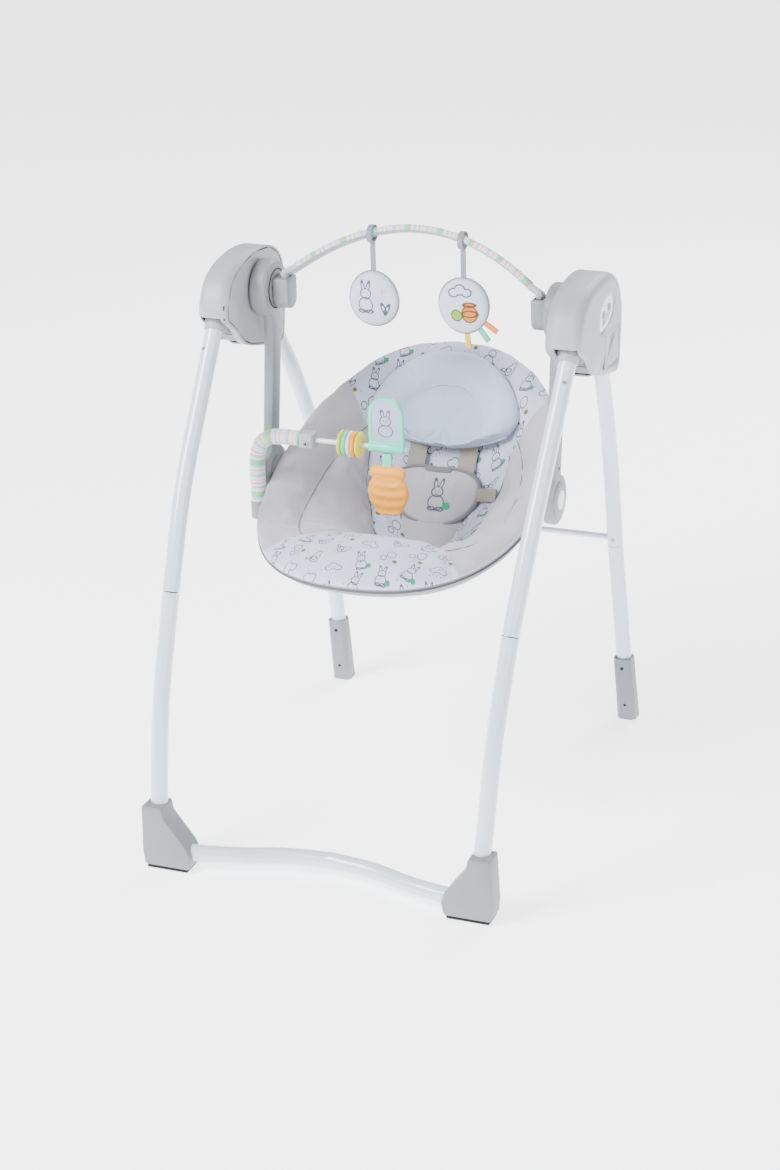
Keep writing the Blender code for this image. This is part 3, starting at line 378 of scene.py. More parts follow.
SPRIG = (
    Mark(Ink.LINE, INK, (Oval(-5, 0, 2.6, 6.2, 42),)),
    Mark(Ink.LINE, INK, (Oval(5, 2.5, 2.6, 6.2, -42),)),
    Mark(Ink.LINE, INK, (Oval(0, 10, 2.7, 6.0),)),
    Mark(Ink.FILL, INK, (Oval(0, -4, 0.4, 9.5, 3),)),
    Mark(Ink.FILL, OLIVE, (Oval(9.2, -7.5, 3.4, 3.2),)),
)
POTS = (
    Mark(Ink.FILL, "#C8752F", (Oval(8, -6, 7.4, 8.2), Oval(8, 3.2, 5.4, 2.0))),
    Mark(Ink.LINE, "#5D3614", (Oval(8, -6, 7.4, 8.2),)),
    Mark(Ink.LINE, "#5D3614", (Oval(8, 3.2, 5.6, 2.2),)),
    Mark(Ink.LINE, "#5D3614", (Oval(8, -6, 7.4, 3.0),)),
    Mark(Ink.FILL, "#809E2F", (Oval(-5, -8, 5.6, 5.4),)),
    Mark(Ink.LINE, "#415719", (Oval(-5, -8, 5.6, 5.4),)),
    Mark(Ink.LINE, INK, (Oval(-8, 14, 5, 3.8), Oval(-2, 17, 5.4, 4.6), Oval(5, 14.6, 4.6, 3.6))),
)
STAR_NIGHT = (
    Mark(Ink.LINE, INK, (Oval(-6, 6, 5.6, 5.0), Oval(-9, 13, 1.6, 4.6, 16), Oval(-3.4, 13, 1.6, 4.6, -12))),
    Mark(Ink.LINE, INK, (Oval(-6, -5, 7.2, 7.4),)),
    Mark(Ink.LINE, INK, (Oval(-10, -11.5, 3.2, 1.7),)),
    Mark(Ink.LINE, INK, (Oval(-2, -11.5, 3.2, 1.7),)),
    Mark(Ink.FILL, INK, (Oval(-8, 6.8, 0.6, 0.6), Oval(-4, 6.8, 0.6, 0.6))),
    Mark(Ink.FILL, "#CFB24D", (Oval(11, 9, 0.9, 3.4), Oval(11, 9, 3.4, 0.9))),
    Mark(Ink.LINE, INK, (Oval(12, -8, 1.7, 5.0, 20),)),
    Mark(Ink.LINE, INK, (Oval(15, -9, 1.7, 5.0, -24),)),
)


@dataclass(frozen=True)
class Printed(Woven):
    """Printed cotton-polyester: fine grey line drawings with a few coloured spots on a pale lavender ground."""

    motifs: tuple[tuple[Mark, ...], ...] = ()
    pitch: float = 38.0

    def over(self, tree: bpy.types.NodeTree, below: bpy.types.NodeSocket, mark: Mark, spot: bpy.types.NodeSocket,
             here: bpy.types.NodeSocket | None) -> bpy.types.NodeSocket:
        """Prints one mark over a colour, only where here is 1 if it is given."""
        mask = mark.mask(tree, spot)
        if here is not None:
            mask = add_node(tree, "ShaderNodeMath", {0: mask, 1: here}, operation="MULTIPLY").outputs[0]
        mixed = add_node(tree, "ShaderNodeMix", {"Factor": mask, "A": below, "B": linear(mark.colour)[:3]},
                         data_type="VECTOR")
        return mixed.outputs["Result"]

    def paint(self, tree: bpy.types.NodeTree, shader: bpy.types.Node) -> None:
        """Lays the motifs out in half-dropped cells, each cell with its own motif and tilt."""
        flat = add_node(tree, "ShaderNodeVectorMath", {0: self.cloth_spot(tree), "Scale": 1.0 / MM},
                        operation="SCALE").outputs["Vector"]
        colour = self.ground(tree)
        if len(self.motifs) == 1:
            for mark in self.motifs[0]:
                colour = self.over(tree, colour, mark, flat, None)
        else:
            spot, pick = self.cells(tree, flat)
            for number, motif in enumerate(self.motifs):
                here = add_node(tree, "ShaderNodeMath", {0: pick, 1: number + 0.5, 2: 0.5}, operation="COMPARE")
                for mark in motif:
                    colour = self.over(tree, colour, mark, spot, here.outputs[0])
            colour = self.specks(tree, flat, colour)
        tree.links.new(colour, shader.inputs["Base Color"])
        self.weave(tree, shader)

    def cells(self, tree: bpy.types.NodeTree, flat: bpy.types.NodeSocket) -> tuple:
        """Returns the place inside a cell, in millimetres from its middle, and the cell's random pick."""
        parts = add_node(tree, "ShaderNodeSeparateXYZ", {"Vector": flat})
        column = add_node(tree, "ShaderNodeMath", {0: parts.outputs["X"], 1: self.pitch}, operation="DIVIDE")
        odd = add_node(tree, "ShaderNodeMath", {0: column.outputs[0]}, operation="FLOOR")
        drop = add_node(tree, "ShaderNodeMath", {0: odd.outputs[0], 1: 2.0}, operation="FLOORED_MODULO")
        row = add_node(tree, "ShaderNodeMath", {0: parts.outputs["Y"], 1: self.pitch}, operation="DIVIDE")
        dropped = add_node(tree, "ShaderNodeMath", {0: drop.outputs[0], 1: 0.5, 2: row.outputs[0]},
                           operation="MULTIPLY_ADD")
        place = add_node(tree, "ShaderNodeCombineXYZ", {"X": column.outputs[0], "Y": dropped.outputs[0]})
        cell = add_node(tree, "ShaderNodeVectorMath", {0: place.outputs[0]}, operation="FLOOR")
        lot = add_node(tree, "ShaderNodeTexWhiteNoise", {"Vector": cell.outputs["Vector"]}, noise_dimensions="3D")
        inside = add_node(tree, "ShaderNodeVectorMath", {0: place.outputs[0]}, operation="FRACTION")
        middle = add_node(tree, "ShaderNodeVectorMath", {0: inside.outputs["Vector"], 1: (0.5, 0.5, 0.0)},
                          operation="SUBTRACT")
        sized = add_node(tree, "ShaderNodeVectorMath", {0: middle.outputs["Vector"], "Scale": self.pitch},
                         operation="SCALE")
        tones = add_node(tree, "ShaderNodeSeparateColor", {"Color": lot.outputs["Color"]})
        tilt = add_node(tree, "ShaderNodeMapRange", {"Value": tones.outputs["Green"], "To Min": -0.5, "To Max": 0.5})
        turned = add_node(tree, "ShaderNodeVectorRotate", {"Vector": sized.outputs["Vector"],
                                                           "Angle": tilt.outputs["Result"]}, rotation_type="Z_AXIS")
        pick = add_node(tree, "ShaderNodeMath", {0: tones.outputs["Red"], 1: float(len(self.motifs))},
                        operation="MULTIPLY")
        return turned.outputs["Vector"], pick.outputs[0]

    def specks(self, tree: bpy.types.NodeTree, flat: bpy.types.NodeSocket,
               colour: bpy.types.NodeSocket) -> bpy.types.NodeSocket:
        """Scatters single ink dots, about one per 3 cm, between the motifs."""
        dots = add_node(tree, "ShaderNodeTexVoronoi", {"Vector": flat, "Scale": 1.0 / 29.0, "Randomness": 1.0},
                        voronoi_dimensions="2D")
        mask = add_node(tree, "ShaderNodeMapRange", {"Value": dots.outputs["Distance"], "From Min": 0.028,
                                                     "From Max": 0.045, "To Min": 0.85, "To Max": 0.0})
        return add_node(tree, "ShaderNodeMix", {"Factor": mask.outputs["Result"], "A": colour,
                                                "B": linear(INK)[:3]}, data_type="VECTOR").outputs["Result"]


STRIPE_BANDS = (("#CECFDB", 9.0), ("#A3AED4", 5.0), ("#CECFDB", 5.0), ("#CCC236", 2.4), ("#CECFDB", 5.0),
                ("#B2B6C2", 3.0), ("#4DC39E", 6.5), ("#DD8347", 2.6), ("#CECFDB", 6.0), ("#A3AED4", 3.5),
                ("#DEDEE3", 4.0), ("#DD8347", 1.6), ("#CECFDB", 1.0))

WHITE_ENAMEL = Enamel("white_enamel_tube", "#CAD3DD", 0.22, mottle=0.012)
GREY_ABS = Moulded("grey_moulded_abs", "#969A9E", 0.46)
GREY_NYLON = Moulded("grey_nylon_arm", "#7B7F82", 0.48)
FOOT_PP = Moulded("grey_polypropylene_foot", "#787B80", 0.5)
BLACK_RUBBER = Moulded("black_rubber", "#0D0D0E", 0.85, grain_depth=0.0001)
WHITE_ABS = Moulded("white_gloss_abs", "#D7DADD", 0.28, coat=0.3)
STEEL = Bare("zinc_plated_steel", "#93969B", 0.32)
BOARD = Moulded("green_solder_mask", "#0D2F17", 0.5)
CELL = Moulded("battery_shrink_wrap", "#0F1013", 0.4)
# Dark plastic for screws and printed marks, and painted shade where it fills gaps, holes, a recess and slots in place
# of their shadows.
DARK_AND_SHADE = Moulded("dark_plastic_and_painted_recess_shade", "#16171A", 0.7)
VELOUR = Velour("brushed_grey_velour", "#AEAAB2", 0.9, mottle=0.05, mottle_size=0.04)
UNDER_CLOTH = Woven("grey_backing_cloth", "#808189", 0.9)
PIPING = Woven("dark_grey_piping", "#56575E", 0.85, thread=0.0024)
PRINT = Printed("printed_lavender_cotton", "#BFC4D8", 0.9, motifs=(RABBIT, CLOUD, BALLOON, BIRD, SPRIG, RABBIT))
PILLOW = Velour("lavender_microfibre", "#B7BFD8", 0.85, sheen=0.3, pile=0.0012, mottle=0.02)
PILLOW_PANEL = Woven("pale_blue_jersey", "#A9BBCC", 0.85)
PAD_PRINT = Printed("grey_jersey_print", "#A7A4AA", 0.9, motifs=(RABBIT,))
PAD_PLAIN = Woven("grey_jersey", "#A09EA4", 0.9)
BINDING = Woven("taupe_grey_binding", "#6B6B6F", 0.88, thread=0.0022)
STRAP = Webbing("beige_grey_webbing", "#8C867F", 0.85)
PLUSH_PRINT = Printed("plush_star_print", "#BCC2D4", 0.9, motifs=(STAR_NIGHT,))
POT_PRINT = Printed("plush_pot_print", "#BCC2D4", 0.9, motifs=(POTS,))
STRIPES = Striped("striped_knit_sleeve", "#CECFDB", 0.9, bands=STRIPE_BANDS)
HANGER_TAPE = Webbing("grey_hanger_tape", "#80838D", 0.85, rib=0.0018)
MINT = Moulded("mint_moulded_plastic", "#4CCFAC", 0.35, coat=0.2)
YELLOW = Moulded("yellow_moulded_plastic", "#DACB22", 0.35, coat=0.2)
ORANGE = Moulded("orange_moulded_plastic", "#EE9A30", 0.35, coat=0.2)
TEETHER = Moulded("orange_soft_teether", "#EE9F26", 0.5, grain_depth=0.00012)
PICTURE = Printed("picture_card", "#A7A9C7", 0.5, motifs=((
    Mark(Ink.LINE, "#22253A", (Oval(0, 3, 8.4, 7.0), Oval(-4.4, 13, 2.3, 6.0, 12), Oval(4.6, 13, 2.3, 6.0, -14)), 0.6),
    Mark(Ink.LINE, "#22253A", (Oval(0, -12, 11, 8.6),), 0.6),
    Mark(Ink.FILL, "#22253A", (Oval(-3, 4, 0.9, 0.9), Oval(3, 4, 0.9, 0.9), Oval(0, 1.2, 1.2, 0.8))),
    Mark(Ink.FILL, "#36A57C", (Oval(-9, 18, 1.6, 1.6),)),
),))
YELLOW_TAPE = Webbing("yellow_ribbon", "#CFBF3A", 0.8, rib=0.0018)
MINT_TAPE = Webbing("mint_ribbon", "#52C4A0", 0.8, rib=0.0018)
ORANGE_TAPE = Webbing("orange_ribbon", "#DB8143", 0.8, rib=0.0018)


# --- mesh tools ---
def new_object(name: str, work: bmesh.types.BMesh, sharp: float = 180.0) -> bpy.types.Object:
    """Turns a finished bmesh into a smooth-shaded object at the origin.

    Args:
        name: the piece's name.
        work: the bmesh, which is freed.
        sharp: edges turning more than this many degrees stay hard.

    Returns:
        The linked object.
    """
    data = bpy.data.meshes.new(name)
    work.to_mesh(data)
    work.free()
    data.shade_smooth()
    if sharp < 180.0:
        data.set_sharp_from_angle(angle=math.radians(sharp))
    obj = bpy.data.objects.new(name, data)
    bpy.context.scene.collection.objects.link(obj)
    return obj


def grid_surface(name: str, columns: int, rows: int, shape: Shape, uv: Callable[[float, float], Point2] | None = None,
                 zone: Callable[[float, float], int] | None = None,
                 pins: Callable[[float, float], float] | None = None, fill: bool = False,
                 sharp: float = 180.0) -> bpy.types.Object:
    """Bends a flat grid into a surface and welds the edges that meet.

    Args:
        name: the piece's name.
        columns: faces along the first share.
        rows: faces along the second share.
        shape: the point for two shares from 0 to 1.
        uv: the place on the cloth, in metres, for the same shares.
        zone: the material slot for the shares at a face's middle.
        pins: how firmly a seam holds the point, from 0 to 1.
        fill: closes the holes that are left.
        sharp: edges turning more than this many degrees stay hard.

    Returns:
        The new object.
    """
    work = bmesh.new()
    layer = work.loops.layers.uv.new(UV_NAME)
    weights = work.verts.layers.deform.verify()
    bmesh.ops.create_grid(work, x_segments=columns, y_segments=rows, size=1.0)
    share = {v: ((v.co.x + 1.0) / 2.0, (v.co.y + 1.0) / 2.0) for v in work.verts}
    for face in work.faces:
        for loop in face.loops:
            a, b = share[loop.vert]
            loop[layer].uv = uv(a, b) if uv else (a, b)
        if zone:
            spots = [share[v] for v in face.verts]
            face.material_index = zone(sum(s[0] for s in spots) / len(spots), sum(s[1] for s in spots) / len(spots))
    for vert, (a, b) in share.items():
        vert.co = shape(a, b)
        if pins:
            vert[weights][0] = pins(a, b)
    bmesh.ops.remove_doubles(work, verts=work.verts, dist=2e-6)
    if fill:
        bmesh.ops.holes_fill(work, edges=[e for e in work.edges if e.is_boundary], sides=0)
    bmesh.ops.recalc_face_normals(work, faces=work.faces)
    obj = new_object(name, work, sharp)
    obj.vertex_groups.new(name=PIN_GROUP)
    return obj


def curve_through(points: Sequence[Sequence[float]], steps: int, closed: bool = False) -> list[Vector]:
    """Returns a smooth line through the points, with the given steps between each two."""
    pts = [Vector(p) for p in points]
    pts = [pts[-1], *pts, pts[0], pts[1]] if closed else [pts[0] * 2 - pts[1], *pts, pts[-1] * 2 - pts[-2]]
    line = []
    for a, b, c, d in zip(pts, pts[1:], pts[2:], pts[3:]):
        for k in range(steps):
            t = k / steps
            line.append(0.5 * (2 * b + (c - a) * t + (2 * a - 5 * b + 4 * c - d) * t * t
                               + (3 * b - a - 3 * c + d) * t ** 3))
    line.append(line[0].copy() if closed else pts[-2])
    return line


def lengths(line: Sequence[Vector]) -> list[float]:
    """Returns the distance from the line's start at each of its points."""
    total = [0.0]
    for a, b in zip(line, line[1:]):
        total.append(total[-1] + (b - a).length)
    return total


def swept(name: str, line: Sequence[Vector], half: Point2, normal: Sequence[float], sides: int = 20,
          square: float = 1.0, closed: bool = False, sharp: float = 180.0) -> bpy.types.Object:
    """Carries an oval or squared section along a line.

    Args:
        name: the piece's name.
        line: the points of its middle.
        half: the section's half size along the normal and across it.
        normal: the direction of the first half size.
        sides: faces round the section.
        square: 1 gives an oval and smaller powers a squarer section.
        closed: whether the line's end meets its start.
        sharp: edges turning more than this many degrees stay hard.

    Returns:
        The new object, with its cloth map running along and round it.
    """
    axis, marks, last = Vector(normal).normalized(), lengths(line), len(line) - 1

    def frame_at(i: int) -> tuple[Vector, Vector]:
        """Gives the two directions across the line at one of its points."""
        before, after = line[(i - 1) % last if closed else max(i - 1, 0)], line[(i + 1) % last if closed
                                                                                else min(i + 1, last)]
        way = (after - before).normalized()
        out = (axis - way * axis.dot(way)).normalized()
        return out, way.cross(out)

    frames = [frame_at(i) for i in range(last + 1)]

    def shape(a: float, b: float) -> Vector:
        """Places one point of the tube round its line."""
        i = round(a * last)
        out, across = frames[i]
        c, s = math.cos(2 * math.pi * b), math.sin(2 * math.pi * b)
        return (line[i] + out * half[0] * math.copysign(abs(c) ** square, c)
                + across * half[1] * math.copysign(abs(s) ** square, s))

    around = math.pi * (half[0] + half[1])
    return grid_surface(name, last, sides, shape, lambda a, b: (marks[round(a * last)], b * around),
                        fill=not closed, sharp=sharp)


def strap_of(name: str, line: Sequence[Vector], width: float, thick: float,
             across: Sequence[float]) -> bpy.types.Object:
    """Returns a flat strap along a line, its width lying in the given direction."""
    return swept(name, line, (width / 2, thick / 2), across, 16, 0.35, sharp=50.0)


def spun(name: str, profile: Sequence[Point2], centre: Sequence[float], axis: Sequence[float], steps: int = 48,
         sharp: float = 35.0) -> bpy.types.Object:
    """Turns a profile of (radius, height along the axis) points into a solid of revolution."""
    work = bmesh.new()
    way = Vector(axis).normalized()
    out = way.orthogonal().normalized()
    verts = [work.verts.new(Vector(centre) + out * r + way * h) for r, h in profile]
    edges = [work.edges.new(pair) for pair in zip(verts, verts[1:])]
    if profile[0][0] > 1e-6 and profile[-1][0] > 1e-6:
        edges.append(work.edges.new((verts[-1], verts[0])))
    bmesh.ops.spin(work, geom=[*verts, *edges], cent=Vector(centre), axis=way, angle=2 * math.pi, steps=steps,
                   use_merge=True)
    bmesh.ops.remove_doubles(work, verts=work.verts, dist=1e-6)
    bmesh.ops.recalc_face_normals(work, faces=work.faces)
    return new_object(name, work, sharp)


def plate(outline: Sequence[Vector], push: Sequence[float], round_edges: float = 0.0) -> bmesh.types.BMesh:
    """Returns a solid made by pushing a closed outline, with its edges rounded."""
    work = bmesh.new()
    face = bmesh.ops.contextual_create(work, geom=[work.verts.new(p) for p in outline])["faces"][0]
    pushed = bmesh.ops.extrude_face_region(work, geom=[face], use_keep_orig=True)["geom"]
    bmesh.ops.translate(work, verts=[g for g in pushed if isinstance(g, bmesh.types.BMVert)], vec=Vector(push))
    bmesh.ops.recalc_face_normals(work, faces=work.faces)
    if round_edges:
        rims = [e for e in work.edges if len(e.link_faces) == 2 and e.calc_face_angle() > math.radians(50)]
        bmesh.ops.bevel(work, geom=rims, offset=round_edges, offset_type="OFFSET", segments=3, profile=0.5,
                        affect="EDGES", material=-1, clamp_overlap=True)
    return work


def refined(node: str, round_edges: float, turn: float = 35.0, segments: int = 2) -> bpy.types.Object:
    """Copies a CAD node's shape, merges its loose triangles and softens its hard edges.

    Args:
        node: the CAD node that the copy stands for.
        round_edges: the width of the rounding.
        turn: edges that turn more than this many degrees are rounded.
        segments: faces across the rounding.

    Returns:
        The new object, named after the node.
    """
    work = bmesh.new()
    work.from_mesh(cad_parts[node].data)
    bmesh.ops.remove_doubles(work, verts=work.verts, dist=2e-6)
    bmesh.ops.dissolve_limit(work, angle_limit=math.radians(1.0), verts=work.verts, edges=work.edges)
    if round_edges:
        hard = [e for e in work.edges if len(e.link_faces) == 2 and e.calc_face_angle(0.0) > math.radians(turn)]
        bmesh.ops.bevel(work, geom=hard, offset=round_edges, offset_type="OFFSET", segments=segments, profile=0.5,
                        affect="EDGES", material=-1, clamp_overlap=True)
    bmesh.ops.triangulate(work, faces=[f for f in work.faces if len(f.verts) > 4])
    obj = new_object(f"{node}_shape", work, 32.0)
    return obj


def bake_modifiers(obj: bpy.types.Object) -> None:
    """Applies the object's modifiers to its mesh."""
    graph = bpy.context.evaluated_depsgraph_get()
    made = bpy.data.meshes.new_from_object(obj.evaluated_get(graph), preserve_all_data_layers=True, depsgraph=graph)
    obj.modifiers.clear()
    obj.data = made


def carve(obj: bpy.types.Object, cutter: bpy.types.Object) -> None:
    """Cuts the cutter's shape out of the object and removes the cutter."""
    step = obj.modifiers.new("carve", "BOOLEAN")
    step.operation, step.solver, step.object = "DIFFERENCE", "EXACT", cutter
    bpy.context.view_layer.update()
    bake_modifiers(obj)
    bpy.data.objects.remove(cutter, do_unlink=True)


def stuff(obj: bpy.types.Object, pressure: float, cap: float, slack: float = -0.03) -> None:
    """Fills a sewn piece by a short cloth simulation whose seams are pinned.

    Args:
        obj: a closed mesh with its pin group.
        pressure: how hard the filling pushes.
        cap: the most that a point may move, in metres.
        slack: how much larger the cloth is cut than its frame, as a negative share.
    """
    rest = np.array([v.co for v in obj.data.vertices])
    cloth = obj.modifiers.new("stuffing", "CLOTH")
    cloth.settings.use_pressure = True
    cloth.settings.uniform_pressure_force = pressure
    cloth.settings.effector_weights.gravity = 0.0
    cloth.settings.vertex_group_mass = PIN_GROUP
    cloth.settings.shrink_min = slack
    cloth.settings.quality = 5
    cloth.settings.bending_stiffness = 0.4
    cloth.collision_settings.use_collision = False
    cloth.point_cache.frame_start, cloth.point_cache.frame_end = 1, 20
    for number in range(1, 21):
        bpy.context.scene.frame_set(number)
    graph = bpy.context.evaluated_depsgraph_get()
    moved = np.array([v.co for v in obj.evaluated_get(graph).data.vertices]) - rest
    obj.modifiers.remove(cloth)
    reach = np.linalg.norm(moved, axis=1, keepdims=True)
    moved *= cap * np.tanh(reach / cap) / np.maximum(reach, 1e-9)
    obj.data.vertices.foreach_set("co", (rest + moved).astype(np.float32).ravel())
    obj.data.update()
    bpy.context.scene.frame_set(1)


def subdivide(obj: bpy.types.Object, levels: int = 1) -> None:
    """Adds a Subdivision Surface that shows alike in every view."""
    step = obj.modifiers.new("smooth", "SUBSURF")
    step.levels = step.render_levels = levels


def settle(obj: bpy.types.Object, body: str, *finishes: Finish, slot: str | None = None,
           replaces: Sequence[str] = ()) -> bpy.types.Object:
    """Dresses a piece and sets it on its body.

    Args:
        obj: the piece.
        body: the CAD body it rides on.
        finishes: one finish for each of its material slots.
        slot: the name of a material slot; not used.
        replaces: the CAD nodes it stands for.

    Returns:
        The same piece.
    """
    for finish in finishes:
        obj.data.materials.append(finish.material())
    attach(obj, body)
    if replaces:
        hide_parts(*replaces)
    LOG.info("%s rides on %s", obj.name, body)
    return obj


def side_name(base: str, side: int) -> str:
    """Returns the name of the left or right one of two."""
    return f"{base}_{'right' if side > 0 else 'left'}"


def mirrored(points: Sequence[Sequence[float]], side: int) -> list[tuple[float, float, float]]:
    """Returns the points on that side of the middle plane."""
    return [(p[0] * side, p[1], p[2]) for p in points]


def inset(outline: Sequence[Vector], amount: float) -> list[Vector]:
    """Returns a closed outline in the YZ plane, moved inwards by an amount."""
    area = sum(a.y * b.z - b.y * a.z for a, b in zip(outline, [*outline[1:], outline[0]]))
    turn = math.copysign(1.0, area)
    moved = []
    for i, p in enumerate(outline):
        way = outline[(i + 1) % len(outline)] - outline[i - 1]
        moved.append(p + Vector((0.0, -way.z, way.y)).normalized() * amount * turn)
    return moved


def eased(value: float, table: Sequence[Sequence[float]], column: int = 1) -> float:
    """Reads a table of rows by a smooth curve through its points.

    Args:
        value: the first column's value.
        table: rows in rising order of their first column.
        column: the column that is read.
    """
    xs = [row[0] for row in table]
    ys = [row[column] for row in table]
    i = min(max(sum(x <= value for x in xs) - 1, 0), len(xs) - 2)
    slopes = [(b - a) / (d - c) for a, b, c, d in zip(ys, ys[1:], xs, xs[1:])]
    ways = [slopes[0], *(0.0 if a * b <= 0 else 2 * a * b / (a + b) for a, b in zip(slopes, slopes[1:])), slopes[-1]]
    span = xs[i + 1] - xs[i]
    t = min(max((value - xs[i]) / span, 0.0), 1.0)
    return (ys[i] * (1 + 2 * t) * (1 - t) ** 2 + ways[i] * span * t * (1 - t) ** 2
            + ys[i + 1] * t * t * (3 - 2 * t) + ways[i + 1] * span * t * t * (t - 1))


def bulge(share: float, power: float = 2.4) -> float:
    """Returns how far cloth stands out between two seams, 0 at each and 1 half way."""
    return 1.0 - abs(2.0 * min(max(share, 0.0), 1.0) - 1.0) ** power


# --- tubes, feet and their small fittings ---
@dataclass
class Tubing:
    """The enamelled steel frame: two front legs that fold, two rear legs and the bar between them."""

    leg_radius: float = 0.0135
    rear_radius: float = 0.013
    bar_radius: float = 0.005
    upper: tuple = ((0.2925, 0.0030, 0.8034), (0.2930, -0.0175, 0.7755), (0.2905, -0.0950, 0.6700),
                    (0.2870, -0.1770, 0.5550), (0.2790, -0.2540, 0.4160))
    base: tuple = ((0.2790, -0.2540, 0.4160), (0.2740, -0.3180, 0.2700), (0.2700, -0.3530, 0.1400),
                   (0.2640, -0.3650, 0.0780), (0.2500, -0.3665, 0.0440), (0.2220, -0.3660, 0.0290),
                   (0.1500, -0.3500, 0.0255), (0.0750, -0.3270, 0.0255), (0.0, -0.3170, 0.0255))
    rear: tuple = ((0.2780, 0.1620, 0.7300), (0.2775, 0.1880, 0.6900), (0.2725, 0.2220, 0.6300),
                   (0.2680, 0.2550, 0.5600), (0.2640, 0.2830, 0.4900), (0.2620, 0.3020, 0.4150),
                   (0.2620, 0.3125, 0.3450))
    rear_end: tuple = (0.2680, 0.3710, 0.0)

    def build(self) -> None:
        """Makes the tubes, feet and fittings."""
        half = curve_through(self.base, 8)
        half[0] = half[0].lerp(half[1], 0.05)
        whole = half + [Vector((-p.x, p.y, p.z)) for p in reversed(half[:-1])]
        self.tube("front_base", whole, self.leg_radius, "front_frame", "front_base_tube")
        for side in (-1, 1):
            upper = curve_through(mirrored(self.upper, side), 8)
            self.tube(side_name("front_leg", side), upper, self.leg_radius, "front_frame",
                      side_name("front_leg_tube", side))
            rear = curve_through(mirrored(self.rear, side), 8)
            self.tube(side_name("rear_leg", side), rear, self.rear_radius, "frame", side_name("rear_leg_tube", side))
            start, end = rear[-1], Vector(mirrored([self.rear_end], side)[0])
            lower = [start.lerp(end, t) for t in (0.002, 0.3, 0.6, 0.93)]
            self.tube(side_name("rear_lower", side), lower, self.rear_radius, "frame",
                      side_name("rear_lower_tube", side))
            self.feet(side)
            self.fittings(side, start, end)
        reach = self.rear[-1][0] - self.rear_radius + 0.002
        bar = [Vector((x, 0.3110, 0.3560)) for x in np.linspace(-reach, reach, 5)]
        self.tube("crossbar", bar, self.bar_radius, "frame", "rear_crossbar")

    def tube(self, name: str, line: Sequence[Vector], radius: float, body: str, node: str) -> None:
        """Makes one smooth round tube in place of a CAD node."""
        made = swept(name, line, (radius, radius), (0.9, 0.1, 0.3), 32, sharp=50.0)
        settle(made, body, WHITE_ENAMEL, slot="white_enamel", replaces=[node])

    def feet(self, side: int) -> None:
        """Rounds the moulded shoe, its sole and the rear sleeve."""
        for base, width, finish, slot, body in (("front_foot", 0.0022, FOOT_PP, "grey_foot", "front_frame"),
                                                ("front_sole", 0.0012, BLACK_RUBBER, "dark_rubber", "front_frame"),
                                                ("rear_foot", 0.0016, FOOT_PP, "grey_foot", "frame")):
            node = side_name(base, side)
            settle(refined(node, width), body, finish, slot=slot, replaces=[node])

    def fittings(self, side: int, start: Vector, end: Vector) -> None:
        """Adds the snap button on the front leg with a dark ring of painted shade round it where its hole is, the
        screws on the rear leg and the joint rings.

        Args:
            side: 1 for the right side, -1 for the left.
            start: the top of the lower rear tube.
            end: its bottom.
        """
        spot = Vector((0.2927 * side, -0.0420, 0.7420))
        out = Vector((0.35 * side, -0.80, 0.35)).normalized()
        base = spot + out * (self.leg_radius - 0.0012)
        button = spun(side_name("snap_button", side), [(0, 0.0022), (0.0018, 0.0019), (0.0026, 0.0009), (0.0026, 0)],
                      base, out)
        settle(button, "front_frame", STEEL)
        # A dark ring round the button: painted shade standing in for the hole it comes through.
        ring = spun(side_name("snap_button_hole_shade", side), [(0.0034, 0.0003), (0.0034, 0.0013), (0.0028, 0.0013),
                                                          (0.0028, 0.0003)], base, out)
        settle(ring, "front_frame", DARK_AND_SHADE)
        way = (Vector(mirrored([self.base[1]], side)[0]) - Vector(mirrored([self.base[0]], side)[0])).normalized()
        seam = spun(side_name("leg_seam", side), [(self.leg_radius - 0.001, -0.0004), (self.leg_radius + 0.00015,
                                                                                      -0.0004),
                                                  (self.leg_radius + 0.00015, 0.0004),
                                                  (self.leg_radius - 0.001, 0.0004)],
                    mirrored([self.base[0]], side)[0], way, 40)
        settle(seam, "front_frame", DARK_AND_SHADE)
        for z, radius, lift in ((0.356, 0.0034, self.rear_radius), (0.104, 0.0030, 0.0165), (0.030, 0.0026, 0.0165)):
            at = start.lerp(end, (start.z - z) / (start.z - end.z))
            head = at + Vector((0, -lift + 0.0006, 0))
            screw = spun(f"{side_name('rear_screw', side)}_{round(z / MM)}",
                         [(0, 0.0006), (radius * 0.35, 0.0006), (radius * 0.4, 0.0014), (radius * 0.8, 0.0013),
                          (radius, 0.0005), (radius, 0)], head, (0, -1, 0.02))
            settle(screw, "frame", STEEL if z > 0.3 else DARK_AND_SHADE)


# --- hub housings ---
BUTTONS = ((0.0850, 0.8130), (0.1120, 0.8190))


